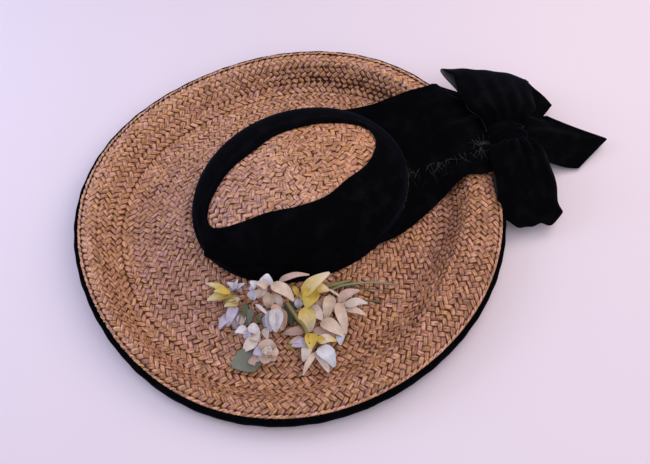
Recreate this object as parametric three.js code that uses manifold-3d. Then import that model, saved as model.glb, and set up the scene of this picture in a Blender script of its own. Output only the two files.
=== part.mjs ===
// Wide-brimmed straw hat, lying crown up: straw crown and brim, velvet band, binding and bow, cloth posy.
// Millimetres, +Z up. The hat's front is at -X, its back with the bow at +X, and the posy is at -Y.
// The exported group has its origin at the middle of its own box, on the surface that the hat lies on.
import * as THREE from 'three';
import { mergeVertices } from 'three/addons/utils/BufferGeometryUtils.js';
import Module from 'manifold-3d';

const wasm = await Module();
wasm.setup();

// Clearances and walls
const GAP = 0.3;
const STRAW = 3.0;
const VELVET = 2.4;
const BAND_WALL = 2.6;
const PETAL_WALL = 1.0;

// Crown: an oval dome, measured outside
const CROWN_LENGTH = 206;
const CROWN_WIDTH = 168;
const CROWN_RISE = 53;
const CROWN_FOOT = 9;

// Brim: the outline of its straw edge, its middle off the crown's, and the height of its rim
const BRIM_LENGTH = 387;
const BRIM_WIDTH = 374;
const BRIM_FORWARD = 20;
const BRIM_SIDEWAYS = 15;
const BRIM_RISE = 30;
const REST_BAND = 8;
const BRIM_DRIFT = 0.84;
const SLOPE_ROWS = [0.35, 0.7];

// Velvet roll on the brim's edge
const BINDING_REACH = 3.4;
const BINDING_DROP = 9;
const BINDING_SWELL = 0.1;

// Sash and bow: BOW_LENGTH is how far a loop of full size goes out from the knot's middle
const SASH_RISE = 35;
const BOW_LENGTH = 100;
const KNOT_ANGLE = -12;
const KNOT_OVERHANG = 30;
const KNOT_HEIGHT = 31;
const KNOT_RADIUS = 19;
const KNOT_THICKNESS = 35;
const KNOT_PUCKERS = 5;
const KNOT_PUCKER_DEPTH = 0.09;
const BOW_ROOT = 0.7;
const LOOP_DEPTH = 17;
const PLEAT_DEPTH = 1.6;

// Posy
const PETAL_LENGTH = 16;
const LEAF_LENGTH = 24;
const STEM_RADIUS = 1.2;
const STEM_ARCH = 1.5;

// Mesh fineness
const CROWN_SIDES = 48;
const BRIM_SIDES = 60;

const degrees = THREE.MathUtils.degToRad;
const mix = THREE.MathUtils.lerp;
const clampShare = (value) => THREE.MathUtils.clamp(value, 0, 1);

// Outline and section of the brim, clockwise from the back as seen from below.
// rim: height of the straw edge, crest: how much higher the shoulder is, valley: height of the groove, all as
// shares of BRIM_RISE. groove and shoulder: inward from the edge, as shares of half of BRIM_WIDTH.
const BRIM_SECTIONS = [
  { angle: 0, rim: 1.017, groove: 0.225, shoulder: 0.118, crest: 0.05, valley: 0.13 },
  { angle: 30, rim: 1.083, groove: 0.193, shoulder: 0.096, crest: 0.05, valley: 0.07 },
  { angle: 60, rim: 0.99, groove: 0.177, shoulder: 0.064, crest: 0.05, valley: 0 },
  { angle: 90, rim: 0.863, groove: 0.214, shoulder: 0.064, crest: 0.083, valley: 0 },
  { angle: 120, rim: 0.853, groove: 0.235, shoulder: 0.064, crest: 0.117, valley: 0 },
  { angle: 150, rim: 0.863, groove: 0.225, shoulder: 0.054, crest: 0.133, valley: 0 },
  { angle: 180, rim: 0.717, groove: 0.155, shoulder: 0.048, crest: 0.133, valley: 0 },
  { angle: 210, rim: 0.513, groove: 0.139, shoulder: 0.048, crest: 0.133, valley: 0 },
  { angle: 240, rim: 0.483, groove: 0.171, shoulder: 0.054, crest: 0.133, valley: 0 },
  { angle: 270, rim: 0.63, groove: 0.278, shoulder: 0.118, crest: 0.1, valley: 0 },
  { angle: 300, rim: 0.777, groove: 0.321, shoulder: 0.203, crest: 0.05, valley: 0.07 },
  { angle: 330, rim: 0.887, groove: 0.278, shoulder: 0.16, crest: 0.033, valley: 0.13 },
];

// Slow waves of the edge in plan, as shares of its radius
const EDGE_WAVES = [
  { waves: 2, cosine: -0.0023, sine: 0.0136 },
  { waves: 3, cosine: 0.0083, sine: 0.0041 },
  { waves: 4, cosine: -0.0063, sine: 0.0032 },
];

// Side view of the crown from its foot to its tip: share of the plan radius, share of CROWN_RISE
const CROWN_PROFILE = [
  { radius: 1.0, rise: 0 },
  { radius: 0.993, rise: 0.15 },
  { radius: 0.975, rise: 0.34 },
  { radius: 0.938, rise: 0.51 },
  { radius: 0.87, rise: 0.675 },
  { radius: 0.76, rise: 0.8 },
  { radius: 0.58, rise: 0.9 },
  { radius: 0.3, rise: 0.968 },
  { radius: 0, rise: 1 },
];

// Upper edge of the velvet band: share of the crown's plan radius at which it ends
const BAND_EDGE = [
  { angle: 0, radius: 0.75 },
  { angle: 30, radius: 0.6 },
  { angle: 60, radius: 0.5 },
  { angle: 90, radius: 0.5 },
  { angle: 120, radius: 0.52 },
  { angle: 150, radius: 0.7 },
  { angle: 180, radius: 0.9 },
  { angle: 210, radius: 0.58 },
  { angle: 240, radius: 0.5 },
  { angle: 270, radius: 0.5 },
  { angle: 300, radius: 0.51 },
  { angle: 330, radius: 0.66 },
];

// A smooth closed reading of one column of a table with equal steps of angle
function aroundTable(table, column, angle) {
  const count = table.length;
  const place = ((((angle / (2 * Math.PI)) * count) % count) + count) % count;
  const index = Math.floor(place);
  const share = place - index;
  const value = (step) => table[(index + step + count) % count][column];
  const slopeIn = (value(1) - value(-1)) / 2;
  const slopeOut = (value(2) - value(0)) / 2;
  const cubic = 2 * value(0) - 2 * value(1) + slopeIn + slopeOut;
  const square = 3 * value(1) - 3 * value(0) - 2 * slopeIn - slopeOut;
  return ((cubic * share + square) * share + slopeIn) * share + value(0);
}

const ease = (share) => THREE.MathUtils.smoothstep(share, 0, 1);

// Crown surface: point at a share along the profile, pushed outward by an offset
const profileCurve = new THREE.CatmullRomCurve3(
  CROWN_PROFILE.map((row) => new THREE.Vector3(row.radius, 0, row.rise)),
);

function crownPoint(share, angle, offset) {
  const row = profileCurve.getPoint(clampShare(share));
  const step = 0.5 / (CROWN_PROFILE.length - 1);
  const before = profileCurve.getPoint(clampShare(share - step));
  const after = profileCurve.getPoint(clampShare(share + step));
  const halfLength = CROWN_LENGTH / 2;
  const halfWidth = CROWN_WIDTH / 2;
  const meanRadius = (halfLength + halfWidth) / 2;
  const normal = new THREE.Vector3((after.z - before.z) * CROWN_RISE, 0, (before.x - after.x) * meanRadius);
  normal.normalize();
  const outward = new THREE.Vector3(Math.cos(angle) / halfLength, Math.sin(angle) / halfWidth, 0).normalize();
  const radius = Math.max(row.x, 0);
  const point = new THREE.Vector3(
    halfLength * radius * Math.cos(angle),
    halfWidth * radius * Math.sin(angle),
    CROWN_FOOT + CROWN_RISE * row.z,
  );
  const sideways = radius > 0.01 ? normal.x : 0;
  point.addScaledVector(outward, offset * sideways);
  point.z += offset * (radius > 0.01 ? normal.z : 1);
  return point;
}

// Share along the profile at which the crown narrows to a given share of its plan radius
function profileShareAtRadius(radius) {
  let low = 0;
  let high = 1;
  for (let step = 0; step < 30; step += 1) {
    const middle = (low + high) / 2;
    if (profileCurve.getPoint(middle).x > radius) low = middle;
    else high = middle;
  }
  return (low + high) / 2;
}

// Brim surface: plan point at a distance inward from the straw edge; outward is negative. The rim's middle lies
// off the crown's, and most of that is gone where the brim meets the crown: BRIM_DRIFT is its share.
function brimPlan(inset, angle) {
  const halfLength = BRIM_LENGTH / 2;
  const halfWidth = BRIM_WIDTH / 2;
  const crownInset = (halfLength + halfWidth - CROWN_LENGTH / 2 - CROWN_WIDTH / 2) / 2;
  const drift = 1 - (inset / crownInset) * BRIM_DRIFT;
  let wave = 1;
  for (const row of EDGE_WAVES) {
    const fade = clampShare(1 - inset / crownInset);
    wave += fade * (row.cosine * Math.cos(row.waves * angle) + row.sine * Math.sin(row.waves * angle));
  }
  const x = -BRIM_FORWARD * drift + (halfLength - inset) * wave * Math.cos(angle);
  const y = -BRIM_SIDEWAYS * drift + (halfWidth - inset) * wave * Math.sin(angle);
  return new THREE.Vector2(x, y);
}

// Distance inward from the straw edge at which the brim meets the crown, or an oval round it
function insetAtCrown(angle, clearance) {
  let low = 0;
  let high = Math.min(BRIM_LENGTH, BRIM_WIDTH) / 2;
  for (let step = 0; step < 40; step += 1) {
    const middle = (low + high) / 2;
    const point = brimPlan(middle, angle);
    const lengthShare = point.x / (CROWN_LENGTH / 2 + clearance);
    const widthShare = point.y / (CROWN_WIDTH / 2 + clearance);
    if (lengthShare ** 2 + widthShare ** 2 > 1) low = middle;
    else high = middle;
  }
  return (low + high) / 2;
}

function brimSection(angle) {
  const half = BRIM_WIDTH / 2;
  return {
    rim: aroundTable(BRIM_SECTIONS, 'rim', angle) * BRIM_RISE,
    crest: aroundTable(BRIM_SECTIONS, 'crest', angle) * BRIM_RISE,
    valley: Math.max(aroundTable(BRIM_SECTIONS, 'valley', angle) * BRIM_RISE, 0),
    groove: aroundTable(BRIM_SECTIONS, 'groove', angle) * half,
    shoulder: aroundTable(BRIM_SECTIONS, 'shoulder', angle) * half,
    crown: insetAtCrown(angle, GAP),
  };
}

// Height of the brim's upper face
function brimTop(inset, angle) {
  const section = brimSection(angle);
  const low = section.valley + STRAW;
  const high = section.rim + section.crest;
  const half = REST_BAND / 2;
  if (inset > section.groove) {
    const climb = (inset - section.groove - half) / (section.crown - section.groove - half);
    return mix(low, CROWN_FOOT + STRAW, ease(clampShare(climb)));
  }
  const climb = (section.groove - half - inset) / (section.groove - half - section.shoulder);
  const roll = clampShare((section.shoulder - inset) / section.shoulder);
  return mix(low, high, ease(clampShare(climb))) - section.crest * roll ** 2;
}

const brimPoint = (inset, angle, lift) => {
  const plan = brimPlan(inset, angle);
  return new THREE.Vector3(plan.x, plan.y, brimTop(Math.max(inset, 0), angle) + lift);
};

// Closed body from vertices and triangles, without collapsed triangles and with its faces outward
function closedBody(points, triangles) {
  const positions = [];
  for (const [first, second, third] of triangles) {
    const corners = [points[first], points[second], points[third]];
    const same = (one, other) => one.distanceToSquared(other) < 1e-8;
    if (same(corners[0], corners[1]) || same(corners[1], corners[2]) || same(corners[2], corners[0])) continue;
    for (const corner of corners) positions.push(corner.x, corner.y, corner.z);
  }
  const geometry = new THREE.BufferGeometry();
  geometry.setAttribute('position', new THREE.Float32BufferAttribute(positions, 3));
  const merged = mergeVertices(geometry, 1e-4);
  if (volumeOf(merged) < 0) flipFaces(merged);
  return merged;
}

function volumeOf(geometry) {
  const position = geometry.getAttribute('position');
  const index = geometry.getIndex();
  const [a, b, c] = [new THREE.Vector3(), new THREE.Vector3(), new THREE.Vector3()];
  let sum = 0;
  for (let face = 0; face < index.count; face += 3) {
    a.fromBufferAttribute(position, index.getX(face));
    b.fromBufferAttribute(position, index.getX(face + 1));
    c.fromBufferAttribute(position, index.getX(face + 2));
    sum += a.dot(b.cross(c)) / 6;
  }
  return sum;
}

function flipFaces(geometry) {
  const index = geometry.getIndex();
  for (let face = 0; face < index.count; face += 3) {
    const second = index.getX(face + 1);
    index.setX(face + 1, index.getX(face + 2));
    index.setX(face + 2, second);
  }
}

// Body lofted through rings that go once round its section and close on the first
function ringBody(rings) {
  const points = rings.flat();
  const count = rings[0].length;
  const triangles = [];
  rings.forEach((_, row) => {
    const next = (row + 1) % rings.length;
    for (let column = 0; column < count; column += 1) {
      const beside = (column + 1) % count;
      const corners = [row * count + column, next * count + column, next * count + beside, row * count + beside];
      triangles.push([corners[0], corners[1], corners[2]], [corners[0], corners[2], corners[3]]);
    }
  });
  return closedBody(points, triangles);
}

// Sheet of even thickness through a grid of points, with its rims closed
function sheetBody(grid, thickness) {
  const rows = grid.length;
  const columns = grid[0].length;
  const upper = [];
  const lower = [];
  for (let row = 0; row < rows; row += 1) {
    for (let column = 0; column < columns; column += 1) {
      const along = grid[Math.min(row + 1, rows - 1)][column].clone();
      along.sub(grid[Math.max(row - 1, 0)][column]);
      const across = grid[row][Math.min(column + 1, columns - 1)].clone();
      across.sub(grid[row][Math.max(column - 1, 0)]);
      const normal = along.cross(across).normalize();
      upper.push(grid[row][column].clone().addScaledVector(normal, thickness / 2));
      lower.push(grid[row][column].clone().addScaledVector(normal, -thickness / 2));
    }
  }
  const below = upper.length;
  const place = (row, column) => row * columns + column;
  const triangles = [];
  for (let row = 0; row + 1 < rows; row += 1) {
    for (let column = 0; column + 1 < columns; column += 1) {
      const first = place(row, column);
      const corners = [first, first + columns, first + columns + 1, first + 1];
      triangles.push([corners[0], corners[1], corners[2]], [corners[0], corners[2], corners[3]]);
      triangles.push([corners[2] + below, corners[1] + below, corners[0] + below]);
      triangles.push([corners[3] + below, corners[2] + below, corners[0] + below]);
    }
  }
  const border = [];
  for (let column = 0; column + 1 < columns; column += 1) border.push(place(0, column));
  for (let row = 0; row + 1 < rows; row += 1) border.push(place(row, columns - 1));
  for (let column = columns - 1; column > 0; column -= 1) border.push(place(rows - 1, column));
  for (let row = rows - 1; row > 0; row -= 1) border.push(place(row, 0));
  border.forEach((from, step) => {
    const to = border[(step + 1) % border.length];
    triangles.push([from, to, to + below], [from, to + below, from + below]);
  });
  return closedBody([...upper, ...lower], triangles);
}

// Solids for booleans, and back
function toSolid(geometry) {
  const position = geometry.getAttribute('position');
  const mesh = new wasm.Mesh({
    numProp: 3,
    vertProperties: new Float32Array(position.array),
    triVerts: new Uint32Array(geometry.getIndex().array),
  });
  return new wasm.Manifold(mesh);
}

function fromSolid(solid) {
  const mesh = solid.getMesh();
  const geometry = new THREE.BufferGeometry();
  geometry.setAttribute('position', new THREE.BufferAttribute(new Float32Array(mesh.vertProperties), 3));
  geometry.setIndex(new THREE.BufferAttribute(new Uint32Array(mesh.triVerts), 1));
  return geometry;
}

const joined = (geometries) => {
  const solids = geometries.map(toSolid);
  return fromSolid(solids.reduce((whole, solid) => whole.add(solid)));
};

const cutBy = (geometry, cutters) => {
  const solid = cutters.map(toSolid).reduce((rest, cutter) => rest.subtract(cutter), toSolid(geometry));
  return fromSolid(solid);
};

const ringAngles = (sides) => Array.from({ length: sides }, (_, side) => (side / sides) * 2 * Math.PI);

// Crown: outer face from foot to tip, inner face back down
function crownGeometry() {
  const rows = CROWN_PROFILE.map((_, row) => row / (CROWN_PROFILE.length - 1));
  const angles = ringAngles(CROWN_SIDES);
  const outer = rows.map((share) => angles.map((angle) => crownPoint(share, angle, 0)));
  const inner = rows.map((share) => angles.map((angle) => {
    const point = crownPoint(share, angle, -STRAW);
    if (share === 0) point.z = CROWN_FOOT;
    return point;
  }));
  return ringBody([...outer, ...inner.reverse()]);
}

// Insets of the rows of the brim's section, from its edge to the crown
function brimRows(angle) {
  const section = brimSection(angle);
  const half = REST_BAND / 2;
  const riseStart = section.groove - half;
  const valleyEnd = section.groove + half;
  return [
    0,
    section.shoulder * 0.5,
    section.shoulder,
    ...SLOPE_ROWS.map((share) => mix(section.shoulder, riseStart, share)),
    riseStart,
    valleyEnd,
    ...SLOPE_ROWS.map((share) => mix(valleyEnd, section.crown, share)),
    section.crown,
  ];
}

function brimGeometry() {
  const angles = ringAngles(BRIM_SIDES);
  const columns = angles.map((angle) => brimRows(angle).map((inset) => brimPoint(inset, angle, 0)));
  const top = columns[0].map((_, row) => columns.map((column) => column[row]));
  const under = top.map((ring) => ring.map((point) => point.clone().setZ(point.z - STRAW)));
  return ringBody([...top, ...under.reverse()]);
}

// Section of the binding: outward from the straw edge as a share of BINDING_REACH, down as a share of BINDING_DROP
const BINDING_SECTION = [
  { outward: 0, down: 0.03 },
  { outward: 0.45, down: -BINDING_SWELL },
  { outward: 1, down: 0.12 },
  { outward: 1, down: 0.68 },
  { outward: 0.35, down: 1 },
  { outward: -0.4, down: 0.6 },
  { outward: 0, down: 0.42 },
];

function bindingGeometry() {
  const angles = ringAngles(BRIM_SIDES);
  const rings = BINDING_SECTION.map((row) => angles.map((angle) => {
    const reach = row.outward < 0 ? row.outward * BINDING_REACH : GAP + row.outward * (BINDING_REACH - GAP);
    const plan = brimPlan(-reach, angle);
    return new THREE.Vector3(plan.x, plan.y, brimTop(0, angle) - row.down * BINDING_DROP);
  }));
  return ringBody(rings);
}

// Velvet band. Soft folds run round the crown, and a pinch gathers them at the front; depths are shares of
// BAND_WALL, and spread is in degrees
const BAND_FOLDS = { count: 2.5, depth: 0.5, turns: 1.5 };
const BAND_PINCH = { angle: 186, spread: 16, depth: 1.6, count: 4 };
const BAND_ROWS = [0, 0.2, 0.4, 0.6, 0.8, 0.95];

// Wave between 0 and 1, starting at its top
const raisedWave = (turns) => (1 + Math.cos(2 * Math.PI * turns)) / 2;

function bandRelief(share, angle) {
  const across = Math.sin(Math.PI * share);
  const turns = angle / (2 * Math.PI);
  const folds = BAND_FOLDS.depth * raisedWave(BAND_FOLDS.count * share + BAND_FOLDS.turns * turns);
  const away = THREE.MathUtils.euclideanModulo(turns * 360 - BAND_PINCH.angle + 180, 360) - 180;
  const pinch = BAND_PINCH.depth * Math.exp(-((away / BAND_PINCH.spread) ** 2));
  return BAND_WALL * across * (folds + pinch * raisedWave(BAND_PINCH.count * share));
}

function bandGeometry() {
  const last = CROWN_PROFILE.length - 1;
  const angles = ringAngles(CROWN_SIDES);
  const footShare = (STRAW + 2 * GAP) / CROWN_RISE / CROWN_PROFILE[1].rise / last;
  const edgeShare = angles.map((angle) => profileShareAtRadius(aroundTable(BAND_EDGE, 'radius', angle)));
  const outer = BAND_ROWS.map((row) => angles.map((angle, side) => {
    const share = mix(footShare, edgeShare[side], row);
    return crownPoint(share, angle, GAP + BAND_WALL + bandRelief(row, angle));
  }));
  const rim = angles.map((angle, side) => crownPoint(edgeShare[side], angle, GAP + BAND_WALL / 2));
  const innerRows = CROWN_PROFILE.map((_, row) => row / last).reverse();
  const inner = innerRows.map((row) => angles.map((angle, side) => {
    const share = Math.max(Math.min(row, edgeShare[side]), footShare);
    return crownPoint(share, angle, GAP);
  }));
  return ringBody([...outer, rim, ...inner]);
}

// Place of the bow's knot, and a point in its level frame: out along a heading, to its left, and up
const knotPlan = brimPlan(-KNOT_OVERHANG, degrees(KNOT_ANGLE));
const knotCentre = new THREE.Vector3(knotPlan.x, knotPlan.y, KNOT_HEIGHT);

function bowPoint(heading, out, left, up) {
  const turn = degrees(heading);
  return new THREE.Vector3(
    knotCentre.x + out * Math.cos(turn) - left * Math.sin(turn),
    knotCentre.y + out * Math.sin(turn) + left * Math.cos(turn),
    up,
  );
}

function knotGeometry(grow) {
  const body = new THREE.SphereGeometry(1, 12, 8);
  const position = body.getAttribute('position');
  const point = new THREE.Vector3();
  for (let corner = 0; corner < position.count; corner += 1) {
    point.fromBufferAttribute(position, corner);
    const turn = Math.atan2(point.z, point.x);
    const pucker = 1 + KNOT_PUCKER_DEPTH * Math.cos(KNOT_PUCKERS * turn) * (1 - point.y ** 2);
    const reach = KNOT_RADIUS * pucker + grow;
    const height = knotCentre.z + point.y * (KNOT_THICKNESS / 2 + grow);
    position.setXYZ(corner, knotCentre.x + point.x * reach, knotCentre.y + point.z * reach, height);
  }
  body.deleteAttribute('normal');
  body.deleteAttribute('uv');
  const merged = mergeVertices(body, 1e-4);
  return closedBody(pointsOf(merged), trianglesOf(merged));
}

function pointsOf(geometry) {
  const position = geometry.getAttribute('position');
  const point = (corner) => new THREE.Vector3().fromBufferAttribute(position, corner);
  return Array.from({ length: position.count }, (_, corner) => point(corner));
}

function trianglesOf(geometry) {
  const index = geometry.getIndex();
  const face = (number) => [0, 1, 2].map((corner) => index.getX(3 * number + corner));
  return Array.from({ length: index.count / 3 }, (_, number) => face(number));
}

// Bow loops: heading in degrees from the back, reach and widths as shares of BOW_LENGTH, heights as shares of
// KNOT_HEIGHT. bank lifts the left edge and lowers the right one, droop lowers the far end, and a skew above
// zero makes the left edge shorter than the right one.
const LOOPS = {
  bow_loop_far: {
    heading: 61, reach: 0.88, rootWidth: 0.5, farWidth: 0.86,
    root: 1.29, droop: 0.39, bank: 0.645, pleats: 3, skew: -0.03,
  },
  bow_loop_near: {
    heading: 248, reach: 0.94, rootWidth: 0.26, farWidth: 0.48,
    root: 1.3, droop: 0.85, bank: -0.3, pleats: 2.5, skew: -0.04,
  },
};
const LOOP_ROWS = 12;
const LOOP_COLUMNS = 7;

function loopGeometry(loop) {
  const root = KNOT_RADIUS * BOW_ROOT;
  const reach = loop.reach * BOW_LENGTH;
  const grid = [];
  for (let row = 0; row <= LOOP_ROWS; row += 1) {
    const travel = (row / LOOP_ROWS) * Math.PI;
    const reachShare = Math.sin(travel);
    const width = BOW_LENGTH * mix(loop.rootWidth, loop.farWidth, reachShare ** 0.7);
    const depth = (LOOP_DEPTH / 2) * Math.cos(travel) * (1 - reachShare / 4);
    const line = [];
    for (let column = 0; column < LOOP_COLUMNS; column += 1) {
      const side = column / (LOOP_COLUMNS - 1) - 0.5;
      const pleat = PLEAT_DEPTH * Math.cos(2 * Math.PI * loop.pleats * side) * (1 - reachShare / 2);
      const out = mix(root, reach * (1 - loop.skew * 2 * side), reachShare);
      const share = out / reach;
      const height = KNOT_HEIGHT * (loop.root - loop.droop * share ** 2 + loop.bank * side * share);
      line.push(bowPoint(loop.heading, out, side * width, height + depth + pleat));
    }
    grid.push(line);
  }
  return sheetBody(grid, VELVET);
}

// Bow tails: ribbon ends, cut to a point or a slant, in the same shares as the loops. tip is where the longest
// part lies across the width, and cut how much shorter the far edge is for each half width away from it
const TAILS = {
  bow_tail_short: {
    heading: 26, reach: 0.81, rootWidth: 0.18, farWidth: 0.24,
    root: 0.726, end: 0.45, cut: 0.035, tip: 0.45,
  },
  bow_tail_long: {
    heading: -27, reach: 1.03, rootWidth: 0.3, farWidth: 0.54,
    root: 0.5, end: 0.097, cut: 0.38, tip: -0.04,
  },
};
const TAIL_ROWS = 7;
const TAIL_COLUMNS = 7;

function tailGeometry(tail) {
  const root = KNOT_RADIUS * BOW_ROOT;
  const grid = [];
  for (let row = 0; row <= TAIL_ROWS; row += 1) {
    const travel = row / TAIL_ROWS;
    const width = BOW_LENGTH * mix(tail.rootWidth, tail.farWidth, travel);
    const line = [];
    for (let column = 0; column < TAIL_COLUMNS; column += 1) {
      const side = column / (TAIL_COLUMNS - 1) - 0.5;
      const reach = BOW_LENGTH * (tail.reach - tail.cut * Math.abs(side - tail.tip) * 2);
      const pleat = PLEAT_DEPTH * Math.cos(4 * Math.PI * side) * (1 - travel);
      const height = KNOT_HEIGHT * mix(tail.root, tail.end, ease(travel));
      line.push(bowPoint(tail.heading, mix(root, reach, travel), side * width, height + pleat));
    }
    grid.push(line);
  }
  return sheetBody(grid, VELVET);
}

// Sash from the crown's back to the knot. Each row runs from its far to its near edge: angle, share of the way
// from the band to the straw edge, and height as a share of SASH_RISE; swell lifts the middle.
const SASH_ROWS = [
  { farAngle: 47, farOut: 0, farHeight: 0.7, nearAngle: -72, nearOut: 0, nearHeight: 0.45, swell: 0 },
  { farAngle: 33, farOut: 0.08, farHeight: 0.74, nearAngle: -59, nearOut: 0.08, nearHeight: 0.38, swell: 0.03 },
  { farAngle: 24, farOut: 0.24, farHeight: 0.82, nearAngle: -44, nearOut: 0.2, nearHeight: 0.36, swell: 0.04 },
  { farAngle: 19, farOut: 0.46, farHeight: 0.93, nearAngle: -32, nearOut: 0.38, nearHeight: 0.4, swell: 0.05 },
  { farAngle: 15, farOut: 0.7, farHeight: 1.02, nearAngle: -26, nearOut: 0.62, nearHeight: 0.9, swell: 0.04 },
  { farAngle: 11, farOut: 0.92, farHeight: 1.03, nearAngle: -25, nearOut: 0.86, nearHeight: 0.95, swell: 0.04 },
  { farAngle: 9.5, farOut: 1.04, farHeight: 0.97, nearAngle: -22.5, nearOut: 1.04, nearHeight: 0.92, swell: 0.01 },
  { farAngle: 5, farOut: 1.11, farHeight: 0.7, nearAngle: -19, nearOut: 1.11, nearHeight: 0.7, swell: 0.01 },
  { farAngle: 1, farOut: 1.36, farHeight: 0.58, nearAngle: -15, nearOut: 1.36, nearHeight: 0.56, swell: 0 },
];
const SASH_COLUMNS = 9;
const SASH_EASE = 0.2;

function sashGeometry() {
  const half = VELVET / 2;
  const footClearance = 2 * GAP + BAND_WALL * (1 + BAND_FOLDS.depth) + VELVET;
  const grid = SASH_ROWS.map((row) => {
    const line = [];
    for (let column = 0; column < SASH_COLUMNS; column += 1) {
      const share = column / (SASH_COLUMNS - 1);
      const angle = degrees(mix(row.farAngle, row.nearAngle, share));
      const foot = insetAtCrown(angle, footClearance);
      const inset = foot * (1 - mix(row.farOut, row.nearOut, share));
      const middle = Math.sin(Math.PI * share);
      const height = SASH_RISE * (mix(row.farHeight, row.nearHeight, share) + row.swell * middle);
      const overBinding = inset < 0 ? BINDING_SWELL * BINDING_DROP : 0;
      const point = brimPoint(inset, angle, GAP + half + SASH_EASE + overBinding);
      const carried = inset > -BINDING_REACH - VELVET;
      point.z = carried ? Math.max(height, point.z) : height;
      line.push(point);
    }
    return line;
  });
  return sheetBody(grid, VELVET);
}

// Petals: thin curved leaves in a level frame, pointing along +X from a root inside the seed, curling over
function petalBody({ root, length, width, wall, rise, curl, cup, blunt, rows, columns }) {
  const grid = [];
  for (let row = 0; row <= rows; row += 1) {
    const travel = row / rows;
    const spread = Math.sin(Math.PI * (0.1 + 0.82 * travel ** blunt));
    const bend = degrees(rise - curl * travel);
    const line = [];
    for (let column = 0; column < columns; column += 1) {
      const side = (2 * column) / (columns - 1) - 1;
      const out = length * travel;
      const height = out * Math.sin(bend) + cup * width * side * side * spread;
      line.push(new THREE.Vector3(root + out * Math.cos(bend), (side * width * spread) / 2, height));
    }
    grid.push(line);
  }
  return sheetBody(grid, wall);
}

// Each petal's left edge lies over the next one's right edge, and its root is inside the seed
const PETAL_TWIST = 17;
const PETAL_ROOT = 0.6;

// Blossom kinds: petals round a small seed body. Lengths as shares of PETAL_LENGTH, angles in degrees above level
const KINDS = {
  lily: {
    petals: 5, length: 0.97, width: 0.56, rise: 52, curl: 34,
    cup: 0, blunt: 0.9, seed: 0.175, rows: 3, columns: 2,
  },
  star: {
    petals: 5, length: 1.06, width: 0.66, rise: 30, curl: 26,
    cup: 0, blunt: 1.0, seed: 0.175, rows: 3, columns: 2,
  },
  cluster: {
    petals: 4, length: 0.56, width: 0.53, rise: 44, curl: 24,
    cup: 0.14, blunt: 0.7, seed: 0.16, rows: 2, columns: 3,
  },
  rose: {
    petals: 5, length: 0.72, width: 0.72, rise: 52, curl: 22,
    cup: 0.16, blunt: 0.6, seed: 0.25, rows: 2, columns: 3,
  },
  bud: {
    petals: 4, length: 0.84, width: 0.62, rise: 70, curl: -4,
    cup: 0.2, blunt: 0.55, seed: 0.25, rows: 2, columns: 3,
  },
};

// Where each blossom lies: angle round the brim, share of the way from the crown to the straw edge, size as a
// share of its kind, tilt from upright and the heading that it leans to. They are laid down in this order.
const BLOSSOMS = [
  { name: 'blossom_fan', kind: 'cluster', angle: -148, out: 0.31, size: 1.2, tilt: 50, heading: 190 },
  { name: 'lily_side', kind: 'lily', angle: -160, out: 0.19, size: 0.9, tilt: 65, heading: 170 },
  { name: 'rose', kind: 'rose', angle: -132, out: 0.51, size: 1, tilt: 25, heading: 250 },
  { name: 'blossom_white', kind: 'cluster', angle: -138, out: 0.38, size: 1.1, tilt: 30, heading: 220 },
  { name: 'lily_star', kind: 'star', angle: -117, out: 0.44, size: 1.05, tilt: 25, heading: 280 },
  { name: 'blossom_cream', kind: 'star', angle: -103, out: 0.25, size: 0.95, tilt: 20, heading: 300 },
  { name: 'rosebud', kind: 'bud', angle: -131, out: 0.28, size: 1, tilt: 50, heading: 300 },
  { name: 'lily_trumpet', kind: 'lily', angle: -118, out: 0.18, size: 1.15, tilt: 40, heading: 250 },
  { name: 'blossom_top', kind: 'star', angle: -134, out: 0.12, size: 0.95, tilt: 20, heading: 300 },
  { name: 'blossom_lilac', kind: 'cluster', angle: -146, out: 0.13, size: 0.95, tilt: 35, heading: 200 },
  { name: 'blossom_small', kind: 'cluster', angle: -155, out: 0.08, size: 0.7, tilt: 35, heading: 180 },
];

function blossomBody(row) {
  const kind = KINDS[row.kind];
  const size = PETAL_LENGTH * row.size;
  const sizes = { root: kind.seed * size * PETAL_ROOT, length: kind.length * size, width: kind.width * size };
  const pieces = [];
  for (let petal = 0; petal < kind.petals; petal += 1) {
    const shape = petalBody({ ...kind, ...sizes, wall: PETAL_WALL });
    shape.rotateX(degrees(PETAL_TWIST));
    shape.rotateZ((petal / kind.petals) * 2 * Math.PI);
    pieces.push(shape);
  }
  const seed = new THREE.SphereGeometry(kind.seed * size, 6, 4);
  seed.deleteAttribute('normal');
  seed.deleteAttribute('uv');
  pieces.push(mergeVertices(seed, 1e-4));
  const body = joined(pieces);
  body.rotateY(degrees(row.tilt));
  body.rotateZ(degrees(row.heading));
  return body;
}

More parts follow.
